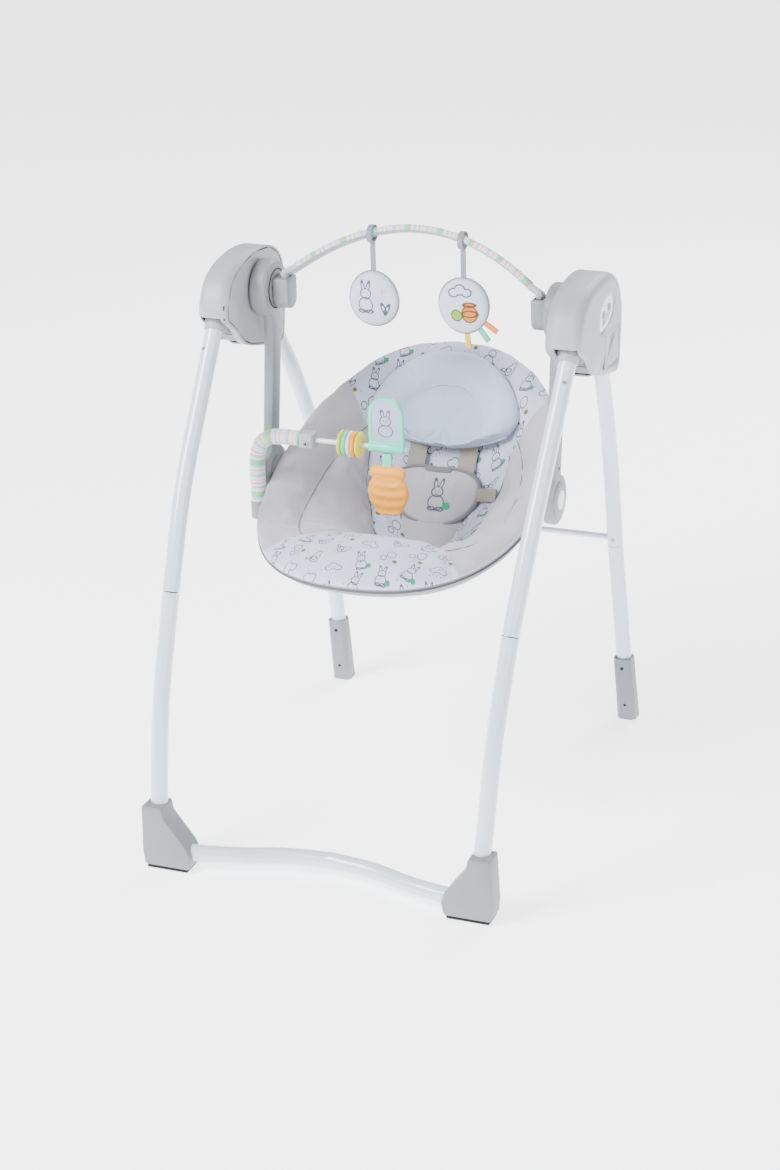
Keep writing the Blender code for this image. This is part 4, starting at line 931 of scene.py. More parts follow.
@dataclass
class Housing:
    """One moulded hub shell with its cover, axle and, on the right, the controls."""

    side: int
    inner: float = 0.2620
    outer: float = 0.3160
    wall: float = 0.0030
    fillet: float = 0.0150
    outline: tuple = ((-0.0335, 0.7890), (-0.0310, 0.8180), (-0.0120, 0.8470), (0.0250, 0.8660), (0.0800, 0.8735),
                      (0.1320, 0.8680), (0.1660, 0.8490), (0.1830, 0.8180), (0.1860, 0.7850), (0.1800, 0.7450),
                      (0.1740, 0.7120), (0.1640, 0.6990), (0.1450, 0.7000), (0.0980, 0.7110), (0.0500, 0.7240),
                      (0.0200, 0.7390), (-0.0030, 0.7640))
    hub: tuple = (0.085, 0.812)

    def rim(self) -> list[Vector]:
        """Returns the smoothed outline in the YZ plane, without its repeated last point."""
        return curve_through([(0.0, y, z) for y, z in self.outline], 7, closed=True)[:-1]

    def shell(self) -> bpy.types.Object:
        """Makes the hollow shell, its outer edge rounded and its face slightly domed."""
        rim = self.rim()
        count = len(rim)
        middle = Vector((0.0, 0.078, 0.790))
        flat = self.outer - self.inner - self.fillet
        dome = 0.0 if self.side > 0 else 0.003
        steps = [(0.0, 0.0), (0.0, flat * 0.5), (0.0, flat)]
        steps += [(self.fillet * (1 - math.cos(t)), flat + self.fillet * math.sin(t))
                  for t in np.linspace(0.2, math.pi / 2, 8)]
        rows = len(steps) + 5

        def shape(a: float, b: float) -> Vector:
            """Places one point of the dish inside its rim."""
            edge = rim[round(a * count) % count]
            spoke = middle - edge
            i = round(b * (rows - 1))
            if i < len(steps):
                into, depth = steps[i]
                into /= spoke.length
            else:
                start = self.fillet / spoke.length
                t = (i - len(steps) + 1) / (rows - len(steps))
                into, depth = start + (1 - start) * t, self.outer - self.inner + dome * math.sin(t * math.pi / 2)
            place = edge + spoke * into
            tuck = self.scoop(place, depth)
            return Vector(((self.inner + depth - tuck) * self.side, place.y, place.z))

        shell = grid_surface(side_name("hub_shell", self.side), count, rows - 1, shape, sharp=40.0)
        thick = shell.modifiers.new("wall", "SOLIDIFY")
        thick.thickness, thick.offset, thick.use_even_offset = self.wall, -1.0, False
        bake_modifiers(shell)
        return shell

    def scoop(self, place: Vector, depth: float) -> float:
        """Returns how far the face is drawn in at the hollow between the front collar and the rear leg."""
        gap = (place - Vector((0.0, 0.072, 0.716))).length
        return 0.011 * math.exp(-(gap / 0.020) ** 2) * min(1.0, depth / 0.04)

    def prism(self, name: str, points: Sequence[Point2], x0: float, x1: float, soften: float = 0.0
              ) -> bpy.types.Object:
        """Makes a block of an outline of (y, z) points between two X planes."""
        work = plate([Vector((x0 * self.side, y, z)) for y, z in points], ((x1 - x0) * self.side, 0, 0), soften)
        return new_object(name, work, 30.0)

    def circle(self, y: float, z: float, radius: float, count: int = 40) -> list[Point2]:
        """Returns a circle of (y, z) points."""
        return [(y + radius * math.cos(2 * math.pi * i / count), z + radius * math.sin(2 * math.pi * i / count))
                for i in range(count)]

    def build(self, tubing: Tubing) -> None:
        """Makes the shell with its openings, then the collar, vents, and controls on the right."""
        side = self.side
        shell = self.shell()
        room = [(self.hub[0] - r * math.sin(math.radians(d)), self.hub[1] - r * math.cos(math.radians(d)))
                for d, r in ((80.6, 0.060), (80.6, 0.160), (68, 0.160), (50, 0.160), (34, 0.160), (19, 0.160),
                             (19, 0.060))]
        carve(shell, self.prism("leg_room", room, 0.2748, 0.3110))
        rear = curve_through(mirrored(tubing.rear[:3], side), 8)
        carve(shell, swept("rear_room", rear, (0.0134, 0.0134), (1, 0, 0), 32))
        if side > 0:
            for outline, x0 in ((self.leaf(0.0003), 0.3136), (self.door(0.0003), 0.2990)):
                carve(shell, self.prism("opening", outline, x0, 0.330))
            for y, z in BUTTONS:
                carve(shell, self.prism("button_room", self.circle(y, z, 0.0071), 0.300, 0.330))
        settle(shell, "frame", GREY_ABS, slot="grey_housing", replaces=[side_name("housing_shell", side)])
        self.collar()
        if side > 0:
            self.controls()
        else:
            self.vents()

    def leaf(self, grow: float = 0.0) -> list[Point2]:
        """Returns the outline of the white control plate."""
        points = curve_through([(0, y, z) for y, z in (
            (0.0640, 0.7950), (0.0660, 0.8180), (0.0800, 0.8320), (0.1050, 0.8370), (0.1260, 0.8330),
            (0.1320, 0.8200), (0.1230, 0.8030), (0.1000, 0.7930), (0.0760, 0.7900))], 5, closed=True)[:-1]
        return [(p.y, p.z) for p in inset(points, -grow)]

    def door(self, grow: float = 0.0) -> list[Point2]:
        """Returns the outline of the battery door."""
        y0, y1, z0, z1 = 0.0900 - grow, 0.1560 + grow, 0.7240 - grow, 0.7800 + grow
        return [(y0, z0), (y1, z0), (y1, z1), (y0, z1)]

    def collar(self) -> None:
        """Adds the raised arch around the front leg where it enters the shell, with a dark band of painted shade at the
        collar's gap.
        """
        side = self.side
        low, high = Vector((0.2930 * side, -0.0175, 0.7755)), Vector((0.2925 * side, 0.0030, 0.8034))
        way = (high - low).normalized()
        at = low + way * 0.001
        ring = spun(side_name("leg_collar", side), [(0.0139, 0.0), (0.0168, 0.0003), (0.0176, 0.0016),
                                                    (0.0176, 0.0135), (0.0139, 0.0140)], at, way, 56)
        settle(ring, "front_frame", GREY_NYLON)
        # A thin dark band near the collar's top: painted shade standing in for the gap there.
        seat = spun(side_name("collar_gap_shade", side), [(0.0172, 0.0), (0.0181, 0.0), (0.0181, 0.0014), (0.0172, 0.0014)],
                    low + way * 0.0128, way, 56)
        settle(seat, "front_frame", DARK_AND_SHADE)
        down = (Vector((0.2905 * side, -0.0950, 0.6700)) - low).normalized()
        cuff = spun(side_name("leg_cuff", side), [(0.0139, -0.006), (0.0162, -0.006), (0.0160, 0.0085),
                                                  (0.0152, 0.0100), (0.0139, 0.0102)], low, down, 56)
        settle(cuff, "front_frame", GREY_ABS)
        arc = [(self.hub[0] - r * math.sin(math.radians(d)), self.hub[1] - r * math.cos(math.radians(d)))
               for r, turns in ((0.0900, range(21, 66, 4)), (0.0885, range(65, 20, -4))) for d in turns]
        settle(self.prism(side_name("leg_shield", side), arc, 0.2752, 0.3106), "front_frame", GREY_NYLON)
        arc = [(self.hub[0] - r * math.sin(math.radians(d)), self.hub[1] - r * math.cos(math.radians(d)))
               for r, turns in ((0.1040, (61, 66, 71, 76, 80)), (0.0900, (80, 76, 71, 66, 61))) for d in turns]
        settle(self.prism(side_name("leg_plug", side), arc, 0.2753, 0.3105), "front_frame", GREY_NYLON)

    def vents(self) -> None:
        """Adds two small dark plates on the left shell's front face: painted shade standing in for the shadowed insides
        of its two slots.
        """
        for name, y, z in (("upper_slot_shade", -0.0340, 0.8090), ("lower_slot_shade", -0.0343, 0.7930)):
            # Each dark plate is painted shade where a slot's hollow is.
            slot = self.prism(name, [(y - 0.0008, z - 0.0040), (y + 0.0022, z - 0.0040), (y + 0.0022, z + 0.0040),
                                     (y - 0.0008, z + 0.0040)], 0.2668, 0.2690, 0.0004)
            settle(slot, "frame", DARK_AND_SHADE)

    def controls(self) -> None:
        """Adds the white plate, its printed lines, the buttons and the battery door with its grip."""
        plate_piece = self.prism("control_plate", self.leaf(), 0.3140, 0.3155, 0.0004)
        for y, z in BUTTONS:
            carve(plate_piece, self.prism("button_room", self.circle(y, z, 0.0063), 0.300, 0.330))
        settle(plate_piece, "frame", WHITE_ABS, slot="white_plastic", replaces=["control_panel"])
        for node, (y, z), body in (("speed_button", BUTTONS[0], "speed_button"),
                                   ("music_button", BUTTONS[1], "music_button")):
            cap = self.prism(f"{node}_cap", self.circle(y, z, 0.0060), 0.3122, 0.3162, 0.0007)
            settle(cap, body, GREY_NYLON, slot="grey_arm", replaces=[node])
        for i in range(4):
            bar = self.prism(f"level_mark_{i}", [(0.0730 + 0.0042 * i, 0.7975 + 0.0008 * i),
                                                 (0.0744 + 0.0042 * i, 0.7975 + 0.0008 * i),
                                                 (0.0744 + 0.0042 * i, 0.8000 + 0.0018 * i),
                                                 (0.0730 + 0.0042 * i, 0.8000 + 0.0018 * i)], 0.31550, 0.31565)
            settle(bar, "frame", DARK_AND_SHADE)
        for i, (y, z) in enumerate(((0.0985, 0.8250), (0.1012, 0.8242))):
            note = self.prism(f"tune_mark_{i}", self.circle(y, z, 0.0007 + 0.0003 * i, 12), 0.31550, 0.31565)
            settle(note, "frame", DARK_AND_SHADE)
        door = self.prism("battery_lid", self.door(), 0.3130, 0.3158, 0.0008)
        for i in range(3):
            grip = self.prism("grip", [(0.1130, 0.7650 + 0.0030 * i), (0.1330, 0.7650 + 0.0030 * i),
                                       (0.1330, 0.7664 + 0.0030 * i), (0.1130, 0.7664 + 0.0030 * i)], 0.3152, 0.330)
            carve(door, grip)
        settle(door, "battery_door", GREY_ABS, slot="grey_housing", replaces=["battery_door"])
        screw = spun("lid_screw", [(0, 0.0002), (0.0010, 0.0002), (0.0011, 0.0009), (0.0024, 0.0008), (0.0029, 0)],
                     (0.3156, 0.1230, 0.7320), (1, 0, 0), 32)
        settle(screw, "battery_door", STEEL)


# --- swinging arms and toy bar ---
@dataclass
class SwingArm:
    """One drop arm with its round head and recline boss."""

    side: int
    boss: tuple = (0.058, 0.515)
    hub: tuple = (0.085, 0.812)

    def build(self) -> None:
        """Rounds the moulding and adds the dark ring of painted shade in the head's recess, the dark screws and the
        recline hub.
        """
        side = self.side
        node = side_name("hanger_arm", side)
        settle(refined(node, 0.0028, 30.0, 3), "swing", GREY_NYLON, slot="grey_arm", replaces=[node])
        node = side_name("toy_bar_socket", side)
        settle(refined(node, 0.0018, 30.0, 3), "toy_bar", GREY_NYLON, slot="grey_arm", replaces=[node])
        # The dark ring round the pivot is painted shade standing in for the recess round the arm's head.
        self.ring("head_recess_shade", self.hub, 0.0300, 0.0325, 0.2302, (-side, 0, 0), DARK_AND_SHADE)
        cap = spun(side_name("recline_hub", side), [(0, 0.0036), (0.018, 0.0034), (0.0275, 0.0026), (0.0300, 0.0006),
                                                    (0.0300, -0.001)],
                   (0.2498 * side, *self.boss), (side, 0, 0), 64)
        settle(cap, "swing", GREY_NYLON)
        disc = spun(side_name("recline_insert", side),
                    [(0, 0.0052), (0.0125, 0.0050), (0.0155, 0.0040), (0.0160, 0.002)],
                    (0.2498 * side, *self.boss), (side, 0, 0), 56)
        replaced = ["recline_cap"] if side > 0 else []
        settle(disc, "swing", WHITE_ABS if side > 0 else GREY_ABS, slot="white_plastic" if side > 0 else None,
               replaces=replaced)
        for i, (y, z) in enumerate(((0.060, 0.566), (0.0665, 0.640))):
            screw = spun(f"{side_name('arm_screw', side)}_{i}", [(0, 0.0001), (0.0012, 0.0001), (0.0013, 0.0007),
                                                                  (0.0027, 0.0006), (0.0031, -0.0003)],
                         (0.2499 * side, y, z), (side, 0, 0), 32)
            settle(screw, "swing", DARK_AND_SHADE)

    def ring(self, name: str, at: Point2, r0: float, r1: float, x: float, way: Sequence[float],
             finish: Finish) -> None:
        """Adds a thin flat ring around a pivot."""
        made = spun(side_name(name, self.side), [(r0, -0.0003), (r1, -0.0003), (r1, 0.0004), (r0, 0.0004)],
                    (x * self.side, *at), way, 64)
        settle(made, "swing", finish)


@dataclass
class ToyBar:
    """The arched bar with its striped strip and two stuffed pads hanging on tapes."""

    end: tuple = (0.2140, 0.0850, 0.8340)
    top: tuple = (0.1220, 0.9150)
    half: Point2 = (0.0095, 0.0055)
    plush_x: float = 0.0760
    plush_half: tuple = (0.0420, 0.0150, 0.0480)

    def point(self, x: float) -> Vector:
        """Returns a point of the bar's middle line."""
        g = 1.0 - (x / self.end[0]) ** 2
        return Vector((x, self.end[1] + (self.top[0] - self.end[1]) * g, self.end[2] + (self.top[1] - self.end[2]) * g))

    def build(self) -> None:
        """Makes the bar, the strip and both hanging pads."""
        normal = Vector((0.0, self.top[1] - self.end[2], -(self.top[0] - self.end[1]))).normalized()
        tip = [Vector((self.end[0], self.end[1], z)) for z in (0.8105, 0.8330, 0.8385)]
        middle = [self.point(x) for x in np.linspace(0.198, -0.198, 25)]
        other = [Vector((-p.x, p.y, p.z)) for p in reversed(tip)]
        bar = swept("toy_bar_moulding", curve_through([*tip, *middle, *other], 3), self.half, normal, 32, 0.55)
        settle(bar, "toy_bar", GREY_ABS, slot="grey_housing", replaces=["toy_bar"])
        line = [self.point(x) for x in np.linspace(-0.194, 0.194, 98)]
        marks = lengths(line)

        def shape(a: float, b: float) -> Vector:
            """Places one point of the strip round the bar."""
            i = round(a * 97)
            way = (line[min(i + 1, 97)] - line[max(i - 1, 0)]).normalized()
            up = way.cross(normal).normalized()
            up = up if up.z > 0 else -up
            turn = math.radians(168 - 184 * b)
            c, s = math.cos(turn), math.sin(turn)
            return (line[i] - normal * 0.0101 * math.copysign(abs(c) ** 0.55, c)
                    + up * 0.0062 * math.copysign(abs(s) ** 0.55, s))

        strip = grid_surface("striped_strip", 97, 20, shape, lambda a, b: (marks[round(a * 97)], b * 0.022))
        thick = strip.modifiers.new("cloth", "SOLIDIFY")
        thick.thickness, thick.offset = 0.0009, 0.0
        bake_modifiers(strip)
        settle(strip, "toy_bar", STRIPES, slot="stripe_fabric", replaces=["toy_bar_cover"])
        for side in (-1, 1):
            self.plush(side)

    def plush(self, side: int) -> None:
        """Makes one stuffed pad with its tape, loop and, on the right, three ribbons."""
        top = self.point(self.plush_x)
        centre = Vector((self.plush_x * side, top.y, top.z - 0.106))
        wide, deep, tall = self.plush_half
        skew = 0.10 * side

        def outline(turn: float) -> Point2:
            """Gives the edge of the stuffed pad at a turn."""
            c, s = math.cos(turn), math.sin(turn)
            return wide * c * (1 + 0.05 * s * skew * 10), tall * s * 0.94

        def place(w: float, h: float, d: float) -> Vector:
            """Places a point of the pad in the object."""
            return centre + Vector((w, -d, h))

        body = side_name("plush", side)
        pad = Cushion(side_name("stuffed_pad", side), outline, place, (0.0, 0.0), deep * 0.85, deep * 0.75)
        obj = pad.build(pinch=0.0008)
        for loop in obj.data.uv_layers[UV_NAME].data:
            loop.uv = (loop.uv[0] * 0.62, loop.uv[1] * 0.62)
        settle(obj, body, POT_PRINT if side > 0 else PLUSH_PRINT, PILLOW, slot="pillow_fabric",
               replaces=[side_name("hanging_plush", side)])
        edge = [place(*outline(2 * math.pi * i / 72), 0.0) for i in range(73)]
        settle(swept(side_name("pad_piping", side), edge, (0.0011, 0.0011), (0, 1, 0), 10, closed=True), body,
               UNDER_CLOTH)
        tape = [Vector((centre.x, top.y + 0.0004, z)) for z in np.linspace(centre.z + tall * 0.90, top.z - 0.0140, 6)]
        settle(strap_of(side_name("hanger_tape", side), tape, 0.0090, 0.0020, (1, 0, 0)), body, HANGER_TAPE)
        loop = []
        for i in range(41):
            turn = -math.pi / 2 + 2 * math.pi * i / 40
            loop.append(Vector((centre.x, top.y + 0.0140 * math.cos(turn), top.z - 0.0005 + 0.0132 * math.sin(turn))))
        settle(swept(side_name("bar_loop", side), loop, (0.0045, 0.0010), (1, 0, 0), 12, 0.4, closed=True), body,
               HANGER_TAPE)
        if side > 0:
            for i, (turn, finish) in enumerate(((-84, YELLOW_TAPE), (-52, MINT_TAPE), (-34, ORANGE_TAPE))):
                w, h = outline(math.radians(turn))
                root = place(w * 0.95, h * 0.95, 0.0)
                way = Vector((math.cos(math.radians(turn)), 0.0, math.sin(math.radians(turn))))
                path = [root, root + way * 0.012 + Vector((0, -0.0016, 0)),
                        root + way * 0.0250 + Vector((0, -0.0015, 0)),
                        root + way * 0.0268, root + way * 0.0250 + Vector((0, 0.0015, 0)),
                        root + way * 0.012 + Vector((0, 0.0016, 0)), root + Vector((0, 0.0010, 0))]
                ribbon = strap_of(f"ribbon_{i}", curve_through(path, 4), 0.0085, 0.0008,
                                  way.cross(Vector((0, 1, 0))))
                settle(ribbon, body, finish)


SEAM_AT = 0.55  # the share of a cushion's rows that lie outside its panel seam


@dataclass
class Cushion:
    """A closed stuffed piece: an outline around a middle, a face and a back that meet in a sewn edge."""

    name: str
    outline: Callable[[float], Point2]
    place: Callable[[float, float, float], Vector]
    middle: Point2
    front: float
    back: float
    panel: Callable[[float], float] | None = None
    columns: int = 96
    rows: int = 18

    def spread(self, a: float, share: float) -> Point2:
        """Returns the flat place at a share of the way from the middle to the edge."""
        w, h = self.outline(2 * math.pi * a)
        return self.middle[0] + (w - self.middle[0]) * share, self.middle[1] + (h - self.middle[1]) * share

    def height(self, a: float, share: float) -> float:
        """Returns how far the face stands out, 0 at the edge and at the panel's seam."""
        round_edge = max(0.0, 1 - share ** 2.2) ** 0.55
        if self.panel is None:
            return self.front * round_edge
        seam = self.panel(a)
        if share >= seam:
            t = (share - seam) / (1 - seam)
            return self.front * (0.30 * (1 - t ** 2) + 0.80 * bulge(t, 2.0) ** 0.7)
        return self.front * (0.30 + 0.26 * bulge(0.5 + 0.5 * share / seam, 2.2))

    @staticmethod
    def panel_share(t: float, seam: float) -> float:
        """Gives how far out a row lies, with the panel seam at its own row."""
        return 1 - t / SEAM_AT * (1 - seam) if t < SEAM_AT else seam * (1 - (t - SEAM_AT) / (1 - SEAM_AT))

    def build(self, pinch: float = 0.0) -> bpy.types.Object:
        """Makes the piece, stuffs it and smooths it; its slots are the face, the back and the panel.

        Args:
            pinch: how deep the gathers at the edge are, in metres.
        """
        total = 2 * self.rows

        def split(b: float) -> tuple[bool, float]:
            """Tells whether a row is on the face, and how far it is from the edge."""
            i = round(b * total)
            return i > self.rows, abs(i - self.rows) / self.rows

        def shape(a: float, b: float) -> Vector:
            """Places one point of the face or the back."""
            front, t = split(b)
            seam = self.panel(a) if self.panel else 0.5
            t = math.sin(t * math.pi / 2) if self.panel is None else t
            share = 1 - t
            if self.panel:
                share = self.panel_share(t, seam)
            w, h = self.spread(a, share)
            d = self.height(a, share) if front else -self.back * max(0.0, 1 - share ** 2.2) ** 0.55
            if front and pinch:
                way = 2 * math.pi * a
                folds = math.sin(way * 37) * 0.6 + noise.noise(Vector((6 * math.cos(way), 6 * math.sin(way), 1.7)))
                d += pinch * folds * math.exp(-((1 - share) / 0.12)) * min(1.0, (1 - share) * 30)
            return self.place(w, h, d)

        def zone(a: float, b: float) -> int:
            """Picks the back, the face or the panel."""
            if b <= 0.5:
                return 1
            _, t = split(math.floor(b * total) / total)
            return 2 if self.panel and t >= 0.549 else 0

        def pins(a: float, b: float) -> float:
            """Holds the edge, the seam and the back still."""
            front, t = split(b)
            seam = front and self.panel is not None and abs(t - SEAM_AT) < 0.03
            return 1.0 if t < 0.01 or seam or not front else 0.0

        def uv(a: float, b: float) -> Point2:
            """Lays the cloth map flat over the outline."""
            _, t = split(b)
            if self.panel is None:
                return self.spread(a, 1 - math.sin(t * math.pi / 2))
            return self.spread(a, self.panel_share(t, self.panel(a)))

        obj = grid_surface(self.name, self.columns, total, shape, uv, zone, pins)
        stuff(obj, 3.0, 0.004)
        subdivide(obj)
        return obj


# --- seat ---
@dataclass
class Seat:
    """The sewn bucket on its ring: a printed head end and front, velour wings and a grey backing."""

    tilt: float = math.radians(22.35)
    centre: Point2 = (0.0398, 0.5584)
    half_length: float = 0.2906
    half_width: float = 0.2285
    power: float = 2.0 / 2.2553
    sag: float = 0.0414
    bottom: tuple = (0.0, 0.1150, 0.3500)
    columns: int = 144
    under_rows: int = 14
    top_rows: int = 50
    rows_top: tuple = ((0.000, 0.0045, 0, 0), (0.020, 0.0115, 0.003, 0), (0.080, 0.0160, 0.012, 0),
                       (0.160, 0.0170, 0.034, 0.002), (0.280, 0.0100, 0.066, 0.007), (0.420, 0.0030, 0.080, 0.011),
                       (0.560, 0.0, 0.066, 0.011), (0.700, 0.0, 0.034, 0.007), (0.850, 0.0, 0.008, 0.002),
                       (1.0, 0.0, 0.0, 0.0))
    rows_under: tuple = ((0.000, -0.0045), (0.020, -0.0110), (0.070, -0.0140), (0.180, -0.0170), (0.420, -0.0220),
                         (0.700, -0.0200), (0.920, -0.0150), (1.0, -0.0150))
    seams: tuple = ((0, 0), (16, 41), (56, 139), (72, 180), (91, 227), (125, 313), (144, 360))
    crease: tuple = ((-90, 0.70), (-47, 0.70), (-3, 0.667), (0, 0.640), (12.5, 0.568), (23, 0.461), (31, 0.404),
                     (41, 0.330), (90, 0.330))

    def __post_init__(self) -> None:
        """Works out the tilt plane's directions."""
        self.along = Vector((0, math.cos(self.tilt), math.sin(self.tilt)))
        self.normal = Vector((0, -math.sin(self.tilt), math.cos(self.tilt)))

    def rim(self, turn: float) -> Vector:
        """Returns a point of the outline; turn 0 is the right side and a quarter turn the head end."""
        c, s = math.cos(turn), math.sin(turn)
        v = self.half_width * math.copysign(abs(c) ** self.power, c)
        u = self.half_length * math.copysign(abs(s) ** self.power, s)
        return (Vector((v, *self.centre)) + self.along * u
                - self.normal * self.sag * (v / self.half_width) ** 2)

    def surface(self, turn: float, share: float, under: bool = False) -> Vector:
        """Returns a point of the bucket before it is stuffed."""
        edge = self.rim(turn)
        toe, heel = max(0.0, -math.sin(turn)) ** 1.5, max(0.0, math.sin(turn))
        if under:
            lift = eased(share, self.rows_under)
        else:
            lift = (eased(share, self.rows_top) + toe * eased(share, self.rows_top, 2)
                    - heel * eased(share, self.rows_top, 3))
        return edge + (Vector(self.bottom) - edge) * share + self.normal * lift

    def turn_at(self, a: float) -> float:
        """Returns the turn in degrees of a column, set so that the seams fall on columns."""
        return float(np.interp(a * self.columns, [s[0] for s in self.seams], [s[1] for s in self.seams]))

    def crease_at(self, degrees: float) -> float:
        """Returns the share at which a wing meets the seat."""
        folded = (degrees + 90) % 360 - 90
        folded = 180 - folded if folded > 90 else folded
        return eased(folded, self.crease)

    def share_at(self, degrees: float, row: float) -> float:
        """Returns the share for a row of the upper side, counted from the rim."""
        crease = self.crease_at(degrees)
        if row <= 15:
            return 0.26 * (row / 15) ** 1.5
        if row <= 33:
            return 0.26 + (crease - 0.26) * (row - 15) / 18
        return crease + (1 - crease) * (row - 33) / (self.top_rows - 33)

    def is_wing(self, degrees: float) -> bool:
        """Tells whether a turn lies in one of the two velour wings."""
        return degrees < 41 or degrees > 313 or 139 < degrees < 227

    def stuffing(self, degrees: float, row: float) -> float:
        """Returns how far the filling lifts the cloth, in metres."""
        gap = min(abs((degrees - s + 180) % 360 - 180) for s in (41, 139, 227, 313))
        held = 1 - math.exp(-(gap / 5.0) ** 2)
        wing = self.is_wing(degrees)
        lift = 0.0055 * bulge(row / 15) if wing else 0.0045 * bulge(row / 15)
        band = 180 < degrees < 360 and not wing
        if row > 15:
            lift = (0.0085 if wing else 0.0060 if band else 0.0015) * bulge((row - 15) / 18)
        if row > 33:
            lift = 0.002 * bulge((row - 33) / (self.top_rows - 33))
        gather = noise.noise(Vector((degrees * 0.55, row * 0.07, 3.0))) * 0.0034 * math.exp(-abs(row - 15) / 4.0)
        gather += noise.noise(Vector((degrees * 0.8, row * 0.05, 8.0))) * 0.0034 * math.exp(-abs(row - 33) / 4.5)
        pull = noise.noise(Vector((gap * 0.10, row * 0.62, 5.0))) * 0.0030 * math.exp(-gap / 11.0)
        return lift * held + (gather + pull) * held * (1.0 if wing or row > 15 else 0.5)

    def build(self) -> bpy.types.Object:
        """Makes the bucket as one sewn piece with its piping."""
        rows = self.under_rows + self.top_rows

        def spot(a: float, row: float) -> Vector:
            """Gives the point of the seat at a turn and a row."""
            degrees = self.turn_at(a)
            turn = math.radians(degrees)
            if row < self.under_rows:
                return self.surface(turn, (1 - row / self.under_rows) ** 1.7, True)
            return self.surface(turn, self.share_at(degrees, row - self.under_rows))

        def shape(a: float, b: float) -> Vector:
            """Places one point of the shell."""
            row = b * rows
            here = spot(a, row)
            if row < self.under_rows:
                share, turn = 1 - row / self.under_rows, math.radians(self.turn_at(a))
                folds = noise.noise(Vector((4.5 * math.cos(turn), 4.5 * math.sin(turn), share * 1.5))) * 0.0035
                out = (here - Vector((0, 0.09, 0.50))).normalized()
                return here + out * ((0.007 + folds) * bulge(share ** 1.4, 2.0))
            if row < self.under_rows + 0.5 or row > rows - 0.5:
                return here
            ahead, beside = spot(a, row + 0.25) - spot(a, row - 0.25), spot(a + 0.002, row) - spot(a - 0.002, row)
            out = beside.cross(ahead)
            out = out.normalized() if out.length > 1e-12 else self.normal
            if out.dot(self.normal) < 0:
                out = -out
            return here + out * self.stuffing(self.turn_at(a), row - self.under_rows)

        def uv(a: float, b: float) -> Point2:
            """Lays the cloth map over the seat from above."""
            here = spot(a, b * rows)
            return here.x, (here - Vector((0, *self.centre))).dot(self.along)

        def zone(a: float, b: float) -> int:
            """Picks the cloth of a row."""
            row = b * rows - self.under_rows
            if row < 0:
                return 2
            return 1 if self.is_wing(self.turn_at(a)) and row < 33 else 0

        def pins(a: float, b: float) -> float:
            """Holds the underside and the seams still."""
            row = b * rows - self.under_rows
            degrees = self.turn_at(a)
            near = min(abs((degrees - s + 180) % 360 - 180) for s in (41, 139, 227, 313))
            line = abs(row - 15) < 0.4 and (self.is_wing(degrees) or degrees < 180)
            fold = abs(row - 33) < 0.4 and self.is_wing(degrees)
            return 1.0 if row < 0.6 or line or fold or near < 0.5 or row > 44 else 0.0

        obj = grid_surface("sewn_seat", self.columns, rows, shape, uv, zone, pins)
        stuff(obj, 4.0, 0.0035)
        subdivide(obj)
        settle(obj, "seat", PRINT, VELOUR, UNDER_CLOTH, slot="print_fabric", replaces=["seat_pad"])
        self.piping()
        return obj

    def lean(self, degrees: float, share: float) -> Vector:
        """Returns the direction in which the surface faces at a turn and a share."""
        turn = math.radians(degrees)
        ahead = self.surface(turn, share + 0.01) - self.surface(turn, share - 0.01)
        beside = self.surface(turn + 0.01, share) - self.surface(turn - 0.01, share)
        out = beside.cross(ahead).normalized()
        return out if out.dot(self.normal) > 0 else -out

    def piping(self) -> None:
        """Adds the cord round the outer edge, the ring in the bolster and the stitched seams of the wings."""
        edge = [self.rim(2 * math.pi * i / 180) for i in range(181)]
        edge = [p + (p - Vector((0, *self.centre))).normalized() * 0.0006 - self.normal * 0.0035 for p in edge]
        settle(swept("rim_piping", edge, (0.0014, 0.0014), self.normal, 12, closed=True), "seat", PIPING)
        inner = [self.rim(2 * math.pi * i / 120) for i in range(121)]
        inner = [p + (Vector((0, *self.centre)) - p).normalized() * 0.0145 - self.normal * 0.0045 for p in inner]
        ring = swept("ring_tube", inner, (0.0045, 0.0045), self.normal, 20, closed=True)
        settle(ring, "seat", STEEL, slot="steel", replaces=["seat_ring"])
        for number, (start, end, row) in enumerate(((-47, 41, 15), (139, 227, 15), (-47, 41, 33), (139, 227, 33))):
            line = []
            for degrees in np.linspace(start, end, 60):
                share = self.share_at(degrees % 360, row)
                line.append(self.surface(math.radians(degrees), share) + self.lean(degrees, share) * 0.0011)
            settle(swept(f"wing_stitch_{number}", line, (0.0006, 0.0006), self.normal, 8), "seat", PIPING)


@dataclass
class Back:
    """The plane of the seat's back, on which the cushions and straps lie."""

    low: Vector = field(default_factory=lambda: Vector((0, 0.1448, 0.3960)))
    up: Vector = field(default_factory=lambda: Vector((0, 0.4827, 0.8758)))
    out: Vector = field(default_factory=lambda: Vector((0, -0.8758, 0.4827)))

    def at(self, w: float, h: float, lift: float) -> Vector:
        """Returns the point at a distance across, up and out of the back."""
        return self.low + Vector((w, 0, 0)) + self.up * h + self.out * lift


PILLOW_EDGE = ((0, 0.303), (0.030, 0.302), (0.064, 0.288), (0.102, 0.257), (0.122, 0.228), (0.131, 0.203),
               (0.126, 0.183), (0.108, 0.166), (0.062, 0.150), (0.024, 0.144), (0, 0.144))
HARNESS_EDGE = ((0, 0.106), (0.030, 0.1075), (0.056, 0.102), (0.071, 0.091), (0.0765, 0.074), (0.070, 0.048),
                (0.048, 0.025), (0.018, 0.0135), (0, 0.012))


def round_outline(half: Sequence[Point2]) -> Callable[[float], Point2]:
    """Returns the closed outline whose right half is given, as a function of the turn, a quarter turn being the top."""
    whole = [*half, *((-w, h) for w, h in reversed(half[1:-1]))]
    line = curve_through([(w, 0.0, h) for w, h in whole], 10, closed=True)
    marks = lengths(line)

    def at(turn: float) -> Point2:
        """Gives the outline point at a turn."""
        place = ((0.25 - turn / (2 * math.pi)) % 1.0) * marks[-1]
        return (float(np.interp(place, marks, [p.x for p in line])),
                float(np.interp(place, marks, [p.z for p in line])))

    return at


